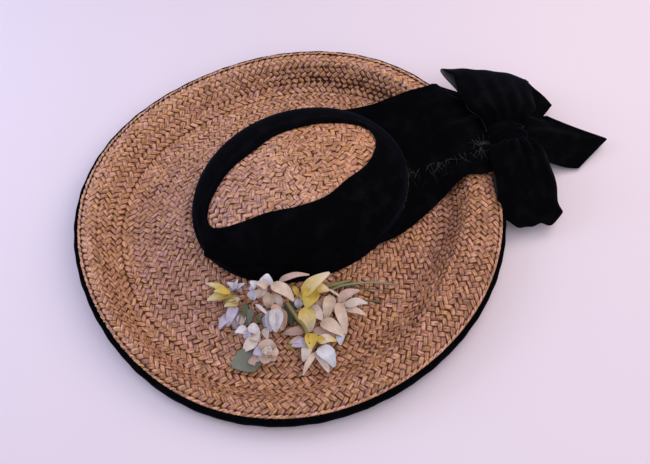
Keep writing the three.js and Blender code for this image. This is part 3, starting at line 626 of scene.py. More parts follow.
@dataclass(frozen=True)
class SilkVelvet:
    """Silk velvet, woven and cut: a dense upright pile that swallows light and shows a rim of sheen."""

    name: str = "black silk velvet, cut pile"
    pile: str = "#030406"
    crushed: str = "#0a0a0e"
    sheen: str = "#5c6796"
    sheen_weight: float = 0.14
    crush_mm: float = 14.0

    def build(self) -> bpy.types.Material:
        """Black with patches where the pile is pressed flat, and a blue-grey bloom where it is seen edge on."""
        material, tree, shader = new_material(self.name)
        place = add_node(tree, "ShaderNodeTexCoord")
        patches = add_node(
            tree, "ShaderNodeTexNoise", inputs={"Scale": 1 / (self.crush_mm * MM), "Detail": 3.0},
            links={"Vector": place.outputs["Object"]},
        )
        spread = add_node(
            tree, "ShaderNodeMapRange", inputs={"From Min": 0.48, "From Max": 0.75},
            links={"Value": patches.outputs["Fac"]},
        )
        colour = add_node(
            tree, "ShaderNodeMix", {"data_type": "RGBA"}, {6: linear(self.pile), 7: linear(self.crushed)},
            {0: spread.outputs[0]},
        )
        tree.links.new(colour.outputs[2], shader.inputs["Base Color"])
        shader.inputs["Roughness"].default_value = 0.95
        shader.inputs["Specular IOR Level"].default_value = 0.03
        shader.inputs["Sheen Weight"].default_value = self.sheen_weight
        shader.inputs["Sheen Roughness"].default_value = 0.35
        shader.inputs["Sheen Tint"].default_value = linear(self.sheen)
        return material


@dataclass(frozen=True)
class SatinBack:
    """The velvet's back: a close satin weave, soft and slightly glossy."""

    name: str = "satin back of the velvet"
    colour: str = "#2c2833"

    def build(self) -> bpy.types.Material:
        """Dark grey with a soft, wide highlight."""
        material, _, shader = new_material(self.name)
        shader.inputs["Base Color"].default_value = linear(self.colour)
        shader.inputs["Roughness"].default_value = 0.42
        shader.inputs["Sheen Weight"].default_value = 0.2
        return material


@dataclass(frozen=True)
class FrayedThread:
    """Raw silk threads at the velvet's cut edge."""

    name: str = "frayed silk thread"
    colour: str = "#211f26"

    def build(self) -> bpy.types.Material:
        """Dark grey where the pile has gone from the thread."""
        material, _, shader = new_material(self.name)
        shader.inputs["Base Color"].default_value = linear(self.colour)
        shader.inputs["Roughness"].default_value = 0.6
        shader.inputs["Sheen Weight"].default_value = 0.3
        return material


@dataclass(frozen=True)
class PetalCotton:
    """Fine cotton, stiffened, dyed by hand and pressed into petals: matt, a little translucent."""

    name: str
    # Fine cotton has threads of about 0.15 mm, and its weave is drawn coarser so that it can show
    weave_mm: float = 0.5
    mottle_mm: float = 4.0
    tooth_mm: float = 0.1
    roughness: float = 0.72
    sheen_weight: float = 0.08

    def build(self) -> bpy.types.Material:
        """The dye is written on the petals, and the weave shows as a faint tooth and mottling."""
        material, tree, shader = new_material(self.name)
        dye = add_node(tree, "ShaderNodeAttribute", {"attribute_name": "dye"})
        place = add_node(tree, "ShaderNodeTexCoord")
        mottle = add_node(
            tree, "ShaderNodeTexNoise", inputs={"Scale": 1 / (self.mottle_mm * MM), "Detail": 4.0},
            links={"Vector": place.outputs["Object"]},
        )
        fade = add_node(
            tree, "ShaderNodeMapRange", inputs={"From Min": 0.3, "From Max": 0.7, "To Min": 0.84, "To Max": 1.06},
            links={"Value": mottle.outputs["Fac"]},
        )
        colour = add_node(
            tree, "ShaderNodeMix", {"data_type": "RGBA", "blend_type": "MULTIPLY"}, {0: 1.0},
            {6: dye.outputs["Color"], 7: fade.outputs[0]},
        )
        tooth = add_node(
            tree, "ShaderNodeTexNoise", inputs={"Scale": 1 / (self.weave_mm * MM), "Detail": 1.0},
            links={"Vector": place.outputs["Object"]},
        )
        bump = add_node(
            tree, "ShaderNodeBump", inputs={"Strength": 0.25, "Distance": self.tooth_mm * MM},
            links={"Height": tooth.outputs["Fac"]},
        )
        tree.links.new(colour.outputs[2], shader.inputs["Base Color"])
        tree.links.new(bump.outputs[0], shader.inputs["Normal"])
        shader.inputs["Roughness"].default_value = self.roughness
        shader.inputs["Sheen Weight"].default_value = self.sheen_weight
        return material


@dataclass(frozen=True)
class FloatShape:
    """One visible length of a strand in the plait, plump in the middle, before it dives under the next."""

    pitch: float = 6.3
    slant_degrees: float = 45.0
    half_length: float = 4.15
    half_width: float = 2.26
    height: float = 1.6
    # Shares of the height lost where it dives, at its sides and in the split down its middle
    dive: float = 0.98
    rounding: float = 0.62
    split: float = 0.2
    # Shares of the width lost at its ends, and of its tone lost to painted shade at its rim, in its split and at most
    narrowed: float = 0.26
    rim_shade: float = 0.7
    split_shade: float = 0.3
    darkest: float = 0.78
    # Share of that painted shade that the strand takes
    shade_scale: float = 1.0
    along: tuple[float, ...] = (-1.0, -0.8, -0.4, 0.4, 0.8, 1.0)
    across: tuple[float, ...] = (-1.0, -0.8, -0.22, 0.0, 0.22, 0.8, 1.0)

    def _places(self) -> tuple[np.ndarray, np.ndarray, np.ndarray]:
        """Shares of the way out along and across, and whether a place is in the split."""
        side = np.abs(np.array(self.across))[None, :]
        return np.abs(np.array(self.along))[:, None], side, side < 0.1

    def heights(self) -> np.ndarray:
        """Height of each point above the shade below, for each place along and across."""
        run, side, in_split = self._places()
        split = self.split * in_split * (1 - run**2)
        return self.height * (1 - self.dive * run**2.6) * (1 - self.rounding * side**3 - split)

    def narrowing(self) -> np.ndarray:
        """Share of the width at each place along, so that the strand rounds off before it dives."""
        return 1 - self.narrowed * np.abs(np.array(self.along)) ** 4

    def shading(self) -> np.ndarray:
        """How much darker each point is than the middle of the strand: painted shade at its rim, its ends and its
        split.
        """
        run, side, in_split = self._places()
        rim = self.rim_shade * side**7 + self.rim_shade * run**7
        return self.shade_scale * np.clip(rim + self.split_shade * in_split, 0.0, self.darkest)

    def faces(self) -> tuple[np.ndarray, np.ndarray]:
        """Four-cornered faces of the top and bottom, and the end caps."""
        rows, columns = len(self.along), len(self.across)
        top = np.array(grid_faces(rows, columns))
        edge = np.arange(rows - 1) * columns
        under = np.stack([edge, edge + columns - 1, edge + 2 * columns - 1, edge + columns], -1)
        caps = np.array([range(columns - 1, -1, -1), range((rows - 1) * columns, rows * columns)])
        return np.concatenate([top, under]), caps


COARSE_FLOAT = FloatShape(along=(-1.0, -0.6, 0.6, 1.0), across=(-1.0, -0.5, 0.5, 1.0))
# The rim row takes half the painted shade at its rims
RIM_FLOAT = FloatShape(slant_degrees=24.0, pitch=5.6, half_length=3.9, half_width=1.8, height=1.7, shade_scale=0.5)


@dataclass
class Plait:
    """Rows of slanted floats laid over a surface, in bands of three rows that are sewn edge to edge."""

    surface: Surface
    run_length: float
    side: float
    start: float = 0.0
    row_pitch: float = 5.3
    rows_in_band: int = 3
    proud: float = 0.5
    tone: float = 0.76
    # Painted light: the floats' tone is raised towards one side of the hat, the far side at 100 degrees, as if more
    # light fell there
    painted_light: float = 0.0
    painted_light_towards: float = 100.0
    # How far floats differ: degrees of turn, shares of length and width, millimetres of lift and tilt, and tone
    turn_spread: float = 6.5
    length_spread: float = 0.09
    width_spread: float = 0.08
    lift_spread: float = 0.2
    tilt_spread: float = 0.3
    tone_spread: float = 0.08
    tone_floor: float = 0.45
    band_dome: float = 0.35
    # Floats that start further than this past the crown are left out, and the others stop short of it
    past_crown: float = 1.5
    short_of_crown: float = 0.8
    fibre_shift: float = 60.0
    shape: FloatShape = field(default_factory=FloatShape)
    seed: int = 1
    inset_limit: Callable[[np.ndarray, np.ndarray], np.ndarray] | None = None
    # Cool and warm tints for each point, mostly painted light
    cool_warm_tint: Callable[[np.ndarray], np.ndarray] | None = None

    def _ground(self, run: np.ndarray, angle: np.ndarray) -> tuple[np.ndarray, np.ndarray]:
        """Points of the surface and its unit normals."""
        step, turn = 0.4, 0.004
        here = self.surface(run, angle)
        down = self.surface(run + step, angle) - self.surface(run - step, angle)
        across = self.surface(run, angle + turn) - self.surface(run, angle - turn)
        return here, unit(np.cross(down, across) * self.side)

    def _angles(self, run: float) -> tuple[float, Callable[[np.ndarray], np.ndarray]]:
        """Length once round at a run, and the angle at each share of that length."""
        turns = np.linspace(0, FULL_TURN, 721)
        line = self.surface(np.full_like(turns, run), turns)
        steps = np.linalg.norm(np.diff(line, axis=0), axis=1)
        total = np.concatenate([[0.0], np.cumsum(steps)])
        length = float(total[-1])
        return length, lambda share: np.interp(np.mod(share, 1.0), total / length, turns) + FULL_TURN * np.floor(share)

    def _row(
        self, rng: np.random.Generator, run_middle: float, place: np.ndarray, sign: float, length: float
    ) -> tuple[np.ndarray, ...]:
        """Floats of one row before they are laid down.

        Args:
            rng: Source of the small differences.
            run_middle: Run of the row's middle line.
            place: Share of the way round of each float.
            sign: 1 or -1, for the slant of the row.
            length: Length of the row once round.

        Returns:
            Run, share of the way round and unevenness of every point, tone of every float, and fibre places.
        """
        shape, count = self.shape, len(place)
        base_u, base_v = np.meshgrid(shape.along, shape.across, indexing="ij")
        slant = math.radians(shape.slant_degrees)
        turn = slant * sign + np.radians(rng.normal(0, self.turn_spread, count))
        reach = shape.half_length * rng.normal(1.0, self.length_spread, count)
        width = shape.half_width * rng.normal(1.0, self.width_spread, count)
        long_u = base_u[None] * reach[:, None, None]
        wide_v = (base_v * shape.narrowing()[:, None])[None] * width[:, None, None]
        cos, sin = np.cos(turn)[:, None, None], np.sin(turn)[:, None, None]
        run = run_middle + (long_u * sin + wide_v * cos) * self._squeeze()
        share = place[:, None, None] + (long_u * cos - wide_v * sin) / length
        level = rng.normal(0, self.lift_spread, count)[:, None, None]
        tilt = rng.normal(0, self.tilt_spread, count)[:, None, None] * base_v[None]
        spread = rng.normal(self.tone, self.tone_spread, count)
        seed = rng.random(count) * self.fibre_shift
        fibre = np.stack([long_u, wide_v, np.broadcast_to(seed[:, None, None], run.shape)], -1)
        return run, share, level + tilt, spread, fibre

    def _rows(self) -> int:
        """Number of rows that fit."""
        return max(int(round((self.run_length - self.start) / self.row_pitch)), 1)

    def _squeeze(self) -> float:
        """How much closer the rows lie than their free pitch, so that they fit."""
        return (self.run_length - self.start) / self._rows() / self.row_pitch

    def _floats(self) -> tuple[np.ndarray, ...]:
        """Run, angle, lift and tone of every point of every float, and its place along the fibres."""
        rng = np.random.default_rng(self.seed)
        shape, rows = self.shape, self._rows()
        base_h, base_d = shape.heights(), shape.shading()
        pitch = (self.run_length - self.start) / rows
        gathered = []
        for band in range(math.ceil(rows / self.rows_in_band)):
            first = band * self.rows_in_band
            middle = self.start + (first + self.rows_in_band / 2) * pitch
            length, angle_at = self._angles(min(middle, self.run_length - pitch / 2))
            count = max(int(round(length / shape.pitch)), 3)
            phase = rng.random()
            for row in range(first, min(first + self.rows_in_band, rows)):
                sign = 1.0 if row % 2 == 0 else -1.0
                place = (np.arange(count) + 0.5 * (row % 2) + phase) / count
                run, share, uneven, spread, fibre = self._row(
                    rng, self.start + (row + 0.5) * pitch, place, sign, length
                )
                in_band = (run - self.start - first * pitch) / (self.rows_in_band * pitch)
                domed = self.band_dome * (np.clip(1 - (2 * in_band - 1) ** 2, 0.0, 1.0) - 1)
                lift = base_h[None] - shape.height + self.proud + (domed + uneven) * (base_h[None] / shape.height)
                # Painted light, raising the tone towards one side
                painted_light = self.painted_light * np.cos(angle_at(place) - math.radians(self.painted_light_towards))
                tone = np.clip(spread + painted_light, self.tone_floor, 1.0)
                # Painted shade at each float's rim, ends and split is taken off its tone
                tone = np.maximum(tone[:, None, None] - base_d[None], 0.0)
                gathered.append((run, angle_at(share), lift, tone, fibre))
        return tuple(np.concatenate(part) for part in zip(*gathered))

    def piece(self, name: str, materials: list[bpy.types.Material]) -> Piece:
        """All floats as one piece, with the tone and its painted shade and light, the cool and warm tints and the fibre
        place of every point.
        """
        run, angle, lift, tone, fibre = self._floats()
        run = np.clip(run, self.start + 0.1, self.run_length - 0.1)
        if self.inset_limit is not None:
            keep = self.inset_limit(run.mean(axis=(1, 2)), angle.mean(axis=(1, 2))) > -self.past_crown
            run, angle, lift, tone, fibre = (part[keep] for part in (run, angle, lift, tone, fibre))
            run = np.minimum(run, run + self.inset_limit(run, angle) + self.short_of_crown)
        here, normal = self._ground(run, angle)
        flat = (here + normal * lift[..., None]).reshape(-1, 3)
        quads, caps = self.shape.faces()
        if self.side > 0:
            quads, caps = quads[:, ::-1], caps[:, ::-1]
        starts = (np.arange(len(run)) * run[0].size)[:, None, None]
        faces = [
            tuple(face) for kind in (quads, caps) for face in (kind[None] + starts).reshape(-1, kind.shape[1]).tolist()
        ]
        cool_warm_tint = self.cool_warm_tint(flat) if self.cool_warm_tint is not None else np.zeros(len(flat))
        values = {"straw_tone_and_painted_light": tone.ravel(), "straw_cool_warm_tint": cool_warm_tint, "straw_run": fibre.reshape(-1, 3)}
        return Piece(name, flat, faces, materials, values=values, sharp_degrees=50.0)


class BrimSurface:
    """Reads the brim by the distance walked inward over its face from the straw edge."""

    sides = 360
    deepest_inset = 150.0
    longest_run = 190.0
    step = 0.5

    def __init__(self, drop: float) -> None:
        """Measures the face once.

        Args:
            drop: How far below the upper face the surface lies.
        """
        self.drop = drop
        self.angles = np.linspace(0, FULL_TURN, self.sides + 1)
        insets = np.arange(0, self.deepest_inset + self.step / 2, self.step)
        line = BRIM.point(insets[None, :], self.angles[:, None])
        steps = np.linalg.norm(np.diff(line, axis=1), axis=2)
        walked = np.pad(np.cumsum(steps, axis=1), ((0, 0), (1, 0)))
        self.runs = np.arange(0, self.longest_run, self.step)
        self.insets = np.stack([np.interp(self.runs, row, insets) for row in walked])
        crown = BRIM.crown_inset(self.angles, BRIM.gap)
        self.crown_run = np.array([np.interp(inset, insets, row) for inset, row in zip(crown, walked)])

    def inset(self, run: np.ndarray, angle: np.ndarray) -> np.ndarray:
        """Plan inset at a distance walked."""
        place = np.mod(angle, FULL_TURN) / FULL_TURN * self.sides
        column = np.minimum(np.floor(place).astype(int), self.sides - 1)
        side = place - column
        spot = np.clip(run / self.step, 0, len(self.runs) - 1.001)
        row = np.floor(spot).astype(int)
        share = spot - row
        one, other = (mix(self.insets[at, row], self.insets[at, row + 1], share) for at in (column, column + 1))
        return mix(one, other, side)

    def __call__(self, run: np.ndarray, angle: np.ndarray) -> np.ndarray:
        """Points of the face."""
        return BRIM.point(self.inset(run, angle), angle, -self.drop)

    def room(self, run: np.ndarray, angle: np.ndarray) -> np.ndarray:
        """Distance left before the crown."""
        return np.interp(np.mod(angle, FULL_TURN), self.angles, self.crown_run) - run


class CrownSurface:
    """Reads the crown by the distance walked down from its tip, on an oval of mean size."""

    def __init__(self, offset: float) -> None:
        """Measures the dome once.

        Args:
            offset: How far outward of the straw's outer face the surface lies.
        """
        self.offset = offset
        shares = np.linspace(1, 0, 400)
        line = CROWN.point(shares, np.full(400, math.pi / 4), offset)
        steps = np.linalg.norm(np.diff(line, axis=0), axis=1)
        self.walked = np.concatenate([[0.0], np.cumsum(steps)])
        self.shares = shares
        self.length = float(self.walked[-1])

    def __call__(self, run: np.ndarray, angle: np.ndarray) -> np.ndarray:
        """Points of the dome."""
        return CROWN.point(np.interp(run, self.walked, self.shares), angle, self.offset)


@dataclass
class StrawBody:
    """Crown and brim of plaited straw."""

    straw: bpy.types.Material
    shade: bpy.types.Material
    float_depth: float = 1.15
    outer_zone: float = 46.0
    core_inset: float = 0.8
    brim_sides: int = 240
    brim_rows: int = 40
    crown_sides: int = 120
    crown_rows: int = 36

    def build(self) -> None:
        """Makes both faces of the brim and crown and the straw between them."""
        self._brim_core()
        self._crown_core()
        upper, lower = BrimSurface(0.0), BrimSurface(BRIM.wall)
        outside, inside = CrownSurface(0.0), CrownSurface(-CROWN.wall)
        reach = float(upper.crown_run.max())
        plaits = {
            "brim_rim_row": Plait(upper, 3.0, -1.0, start=-1.7, row_pitch=4.4, shape=RIM_FLOAT, proud=1.6, seed=2),
            "brim_plait_outer": Plait(
                upper, self.outer_zone, -1.0, start=2.6, painted_light=0.14, seed=3, cool_warm_tint=self._tints,
            ),
            "brim_plait_top": Plait(
                upper, reach, -1.0, start=self.outer_zone, painted_light=0.12, seed=7, inset_limit=upper.room,
                cool_warm_tint=self._tints,
            ),
            "brim_plait_under": Plait(
                lower, reach, 1.0, start=0.6, shape=COARSE_FLOAT, seed=4, inset_limit=lower.room,
            ),
            "crown_plait_outside": Plait(
                outside, outside.length, 1.0, start=1.2, tone=0.92, seed=5, cool_warm_tint=self._crown_tints,
            ),
            "crown_plait_inside": Plait(inside, inside.length, -1.0, start=1.2, shape=COARSE_FLOAT, seed=6),
        }
        for name, plait in plaits.items():
            plait.piece(name, [self.straw]).build(Slot.STRAW, [name.partition("_")[0]])

    def _tints(self, points: np.ndarray) -> np.ndarray:
        """How far the brim's straw is tinted cool grey, or golden where the value is below zero.

        Most of this is painted light: the cool tint inside the outer zone at the front stands for the cool lamp's
        light, and the golden tint on the near right side for the warm lamp's. The outer zone at the front is also made
        warmer, and a stripe along the groove on the near right side cooler and greyer.

        Args:
            points: Points of the plait in the hat frame.

        Returns:
            One value from -1 to 1 for each point.
        """
        middle = np.array([BRIM.forward, BRIM.sideways])
        x, y = (points[:, :2] + middle).T
        angle = np.arctan2(y, x)
        groove = around(BRIM.groove, angle) * BRIM.width / 2
        radius = np.hypot(x, y)
        at_groove = np.linalg.norm(BRIM.plan(groove, angle) + middle, axis=-1)
        at_edge = np.linalg.norm(BRIM.plan(np.zeros_like(angle), angle) + middle, axis=-1)
        turn = np.degrees(angle)
        near_right = 0.9 * bell(radius, at_groove, 11.0) * bell(turn, -45, 28.0)
        inside = ease((at_edge - radius - 40.0) / 6.0)
        front = bell(np.mod(turn, 360), 170, 60.0)
        golden = -0.75 * bell(turn, -40, 55.0) * (0.4 + 0.6 * inside)
        return np.maximum(near_right - 0.2, (0.95 * inside - 0.4) * front + golden * (1 - front))

    def _crown_tints(self, points: np.ndarray) -> np.ndarray:
        """Painted light on the crown's top: a cool grey tint on its front half for the cool lamp, a golden one behind
        for the warm lamp, where the value is below zero.
        """
        return ease((16.0 - points[:, 0]) / 60.0) - 0.5

    def _brim_core(self) -> None:
        """The straw between the two faces of the brim."""
        angles = np.linspace(0, FULL_TURN, self.brim_sides, endpoint=False)
        crown = BRIM.crown_inset(angles, BRIM.gap)
        shares = np.linspace(0, 1, self.brim_rows)
        insets = self.core_inset + shares[:, None] * (crown[None, :] - self.core_inset)
        face = BRIM.point(insets, np.broadcast_to(angles, insets.shape))
        upward = grid_normals(face, closed=True)
        upward = upward * np.sign(upward[..., 2:3])
        rings = np.concatenate(
            [face - upward * self.float_depth, (face - upward * (BRIM.wall - self.float_depth))[::-1]]
        )
        Piece("brim_core", rings.reshape(-1, 3), ring_body(rings), [self.shade]).build(Slot.STRAW, ["brim"])

    def _crown_core(self) -> None:
        """The straw between the two faces of the crown, closed over at the tip."""
        angles = np.linspace(0, FULL_TURN, self.crown_sides, endpoint=False)
        shares = np.linspace(0, 0.995, self.crown_rows)[:, None]
        outer = CROWN.point(shares, angles[None, :], -self.float_depth)
        inner = CROWN.point(shares, angles[None, :], self.float_depth - CROWN.wall)
        rings = np.concatenate([inner[::-1], outer])
        size = (len(rings), len(angles))
        faces = grid_faces(*size, closed=True) + end_caps(*size)
        Piece("crown_core", rings.reshape(-1, 3), faces, [self.shade]).build(Slot.STRAW, ["crown"])


@dataclass(frozen=True)
class Ridge:
    """A soft fold between two places of a cloth's own grid, in millimetres along and across it."""

    from_run: float
    from_side: float
    to_run: float
    to_side: float
    height: float
    width: float

    def lift(self, run: np.ndarray, side: np.ndarray) -> np.ndarray:
        """How far the fold lifts the cloth at each place."""
        dx, dy = self.to_run - self.from_run, self.to_side - self.from_side
        length = max(math.hypot(dx, dy), 1e-6)
        share = ((run - self.from_run) * dx + (side - self.from_side) * dy) / length**2
        held = np.clip(share, 0.0, 1.0)
        away = np.hypot(run - self.from_run - held * dx, side - self.from_side - held * dy)
        return self.height * (1 - 0.75 * held) * bell(away, 0, self.width)


@dataclass
class VelvetBand:
    """The velvet draped round the crown, gathered in a pinch at the front."""

    velvet: bpy.types.Material
    satin: bpy.types.Material
    wall: float = 1.1
    clear: float = 0.5
    foot_clear: float = 3.6
    drape: float = 0.7
    hem_roll: float = 0.9
    # Length round the crown and height up its side that the ridges are placed on
    round_length: float = 588.0
    side_height: float = 112.0
    sides: int = 320
    rows: int = 40
    # Share of the crown's plan radius at which the band ends, for each 30 degrees from the back
    edge: tuple[float, ...] = (0.75, 0.6, 0.51, 0.5, 0.52, 0.7, 0.9, 0.58, 0.485, 0.475, 0.485, 0.64)
    # Run is in millimetres round from the back, side in millimetres up from the foot
    ridges: tuple[Ridge, ...] = (
        Ridge(305, 24, 375, 44, 2.6, 4.0),
        Ridge(305, 22, 392, 27, 2.8, 3.2),
        Ridge(303, 18, 372, 13, 2.2, 3.4),
        Ridge(300, 26, 262, 46, 1.8, 4.5),
        Ridge(298, 20, 248, 24, 1.6, 4.5),
        Ridge(306, 8, 306, 40, 1.9, 5.0),
        Ridge(470, 30, 560, 18, 1.2, 7.0),
        Ridge(430, 46, 520, 40, 1.2, 6.0),
        Ridge(120, 30, 200, 36, 1.4, 6.0),
        Ridge(60, 20, 140, 14, 1.3, 6.0),
    )

    def build(self) -> None:
        """Makes the band of velvet, with satin on its back."""
        angles = np.linspace(0, FULL_TURN, self.sides, endpoint=False)
        foot = self.foot_clear / CROWN.rise / (len(CROWN.profile) - 1) / CROWN.profile[1][1]
        top = CROWN.share_at_radius(around(self.edge, angles))
        rows = np.linspace(0, 1, self.rows)[:, None]
        share = foot + (top[None, :] - foot) * rows
        turn = np.broadcast_to(angles, share.shape)
        run = turn / FULL_TURN * self.round_length
        side = share * self.side_height
        lift = sum(ridge.lift(run, side) for ridge in self.ridges)
        drape = self.drape * (1 + np.sin(7.0 * rows + 2.0 * turn)) * np.sin(math.pi * rows) ** 0.6
        roll = self.hem_roll * np.sin(math.pi * np.clip((rows - 0.9) / 0.1, 0, 1))
        offset = self.clear + self.wall / 2 + (lift + drape) * np.sin(math.pi * np.clip(rows, 0.02, 0.98)) ** 0.4
        grid = CROWN.point(share, turn, offset + roll)
        wall = ClothWall(grid[::-1], self.wall, closed=True)
        band = wall.piece("crown_band_velvet", [self.velvet, self.satin]).build(Slot.VELVET, ["crown_band"])


@dataclass
class EdgeBinding:
    """A velvet strip folded over the straw edge and rolled under."""

    velvet: bpy.types.Material
    wall: float = 0.9
    sides: int = 420
    # Puckers between the stitches: depth in millimetres, number round the edge, and phase
    puckers: tuple[tuple[float, int, float], ...] = ((0.16, 61, 0.0), (0.12, 37, 1.0))
    # Section of the fold: outward from the straw edge and up from its top, in millimetres
    section: tuple[tuple[float, float], ...] = (
        (0.7, -2.2), (0.75, -0.9), (1.7, -0.3), (2.8, -0.8), (3.4, -2.2), (3.5, -4.2),
        (3.3, -6.3), (2.5, -7.7), (1.1, -8.1), (-0.3, -7.3), (-1.0, -5.6), (-1.1, -4.2),
    )

    def build(self) -> None:
        """Makes the strip with the small puckers that its stitches leave."""
        angles = np.linspace(0, FULL_TURN, self.sides, endpoint=False)
        edge = BRIM.top(np.zeros_like(angles), angles)
        pucker = sum(depth * np.sin(count * angles + phase) for depth, count, phase in self.puckers)
        grid = []
        for out, up in self.section:
            plan = BRIM.plan(-(out + np.where(out > 0, pucker, 0.0)), angles)
            grid.append(np.concatenate([plan, (edge + up + 0.5 * pucker)[:, None]], -1))
        wall = ClothWall(np.array(grid), self.wall, closed=True)
        binding = wall.piece("edge_binding_velvet", [self.velvet]).build(Slot.VELVET, ["edge_binding"])


@dataclass(frozen=True)
class BowFrame:
    """The level frame of the bow: its knot hangs past the brim's edge at the back."""

    angle: float = -12.0
    overhang: float = 30.0
    height: float = 31.0
    # Distance from the knot's middle at which loops and tails come out of it
    root: float = 9.0

    def centre(self) -> np.ndarray:
        """Middle of the knot."""
        turn = np.array(math.radians(self.angle))
        plan = BRIM.plan(np.array(-self.overhang), turn)
        return np.array([plan[0], plan[1], self.height])

    def point(self, heading: float, out: np.ndarray, left: np.ndarray, up: np.ndarray) -> np.ndarray:
        """Points out along a heading, to its left, and at a height above the table."""
        turn = math.radians(heading)
        middle = self.centre()
        x = middle[0] + out * math.cos(turn) - left * math.sin(turn)
        y = middle[1] + out * math.sin(turn) + left * math.cos(turn)
        return np.stack(np.broadcast_arrays(x, y, up), -1)


BOW = BowFrame()


@dataclass(frozen=True)
class BowLoop:
    """A loop of velvet: out from the knot over its top, round, and back below, with satin inside."""

    name: str
    node: str
    heading: float
    reach: float
    root_width: float
    far_width: float
    root_height: float
    droop: float
    bank: float
    skew: float
    satin_shift: float
    round_left: float = 0.05
    round_right: float = 0.05
    wave: float = 1.2
    lobe: float = 0.0
    depth: float = 17.0
    wall: float = 1.0
    pleats: float = 4.5
    pleat_depth: float = 2.3
    billow: float = 0.9
    # Share of its width that the root is pinched to, and of its puff that its edges lose
    pinched: float = 0.62
    closed: float = 0.92
    # Millimetres past the root over which it comes up to its own height
    tuck: float = 4.5
    phase: float = 0.0
    flat: tuple[float, float] = (0.07, 0.2)
    rows: int = 64
    columns: int = 44

    def grid(self) -> np.ndarray:
        """Rows along the ribbon from the knot and back to it, columns across it."""
        travel = np.linspace(0, math.pi, self.rows)[:, None]
        side = np.linspace(-0.5, 0.5, self.columns)[None, :]
        to_left, to_right = np.maximum(2 * side, 0), np.maximum(-2 * side, 0)
        reach_share = np.sin(travel)
        width = self.root_width + (self.far_width - self.root_width) * reach_share**0.7
        width = width * (self.pinched + (1 - self.pinched) * ease(reach_share / 0.3))
        lower = ease((travel - 1.2) / 1.2)
        edge_wave = self.wave * np.sin(8 * travel + 5 * side) * reach_share
        left = side * width + self.satin_shift * lower * reach_share**3 + edge_wave * np.abs(2 * side) ** 3
        corner = self.round_left * to_left**3 + self.round_right * to_right**3
        crinkle = 0.014 * np.cos(11 * side + 2 * self.phase) + 0.008 * np.cos(23 * side)
        reach = self.reach * (1 - self.skew * 2 * side - corner + crinkle)
        lobe = self.lobe * bell(travel, 2.0, 0.34) * to_left
        out = BOW.root + (reach - BOW.root) * reach_share + lobe * (1.25 - 0.5 * side)
        left = left + 0.55 * lobe
        share = out / self.reach
        closed = self.closed * (2 * side) ** 4 * (1 - reach_share**5)
        puff = (self.depth / 2) * np.cos(travel) * (1 - 0.2 * reach_share) * (1 - closed)
        folds = self.pleat_depth * np.cos(FULL_TURN * self.pleats * side + self.phase) * (1 - reach_share) ** 1.2
        folds += self.billow * np.cos(FULL_TURN * 1.6 * side + 2.2 * travel + self.phase) * reach_share
        height = self.root_height - self.droop * share**2 + self.bank * side * share + puff + folds
        in_knot = BOW.height + 1.5 * np.cos(travel)
        height = mix(height, in_knot, bell(out, BOW.root, self.tuck))
        return BOW.point(self.heading, out, left, height)


@dataclass(frozen=True)
class BowTail:
    """A cut end of the velvet."""

    name: str
    node: str
    heading: float
    reach: float
    root_width: float
    far_width: float
    root_height: float
    end_height: float
    cut: float
    tip: float
    belly: float = 0.0
    bank: float = 0.0
    wall: float = 1.0
    pleats: float = 3.2
    pleat_depth: float = 1.8
    billow: float = 0.8
    flat: tuple[float, float] = (0.05, 0.1)
    rows: int = 44
    columns: int = 40

    def grid(self) -> np.ndarray:
        """Rows from the knot to the cut, columns across."""
        travel = np.linspace(0, 1, self.rows)[:, None]
        side = np.linspace(-0.5, 0.5, self.columns)[None, :]
        width = self.root_width + (self.far_width - self.root_width) * travel
        reach = self.reach - self.cut * np.abs(side - self.tip) * 2
        out = BOW.root + (reach - BOW.root) * travel
        folds = self.pleat_depth * np.cos(FULL_TURN * self.pleats * side) * (1 - travel) ** 1.3
        folds += self.billow * np.sin(FULL_TURN * 1.1 * side + 3 * travel)
        height = self.root_height + (self.end_height - self.root_height) * ease(travel) + folds
        height = height + self.bank * (side + 0.5) * travel
        swell = self.belly * np.sin(math.pi * travel**0.75) * (side + 0.5)
        return BOW.point(self.heading, out, side * width + swell, height)


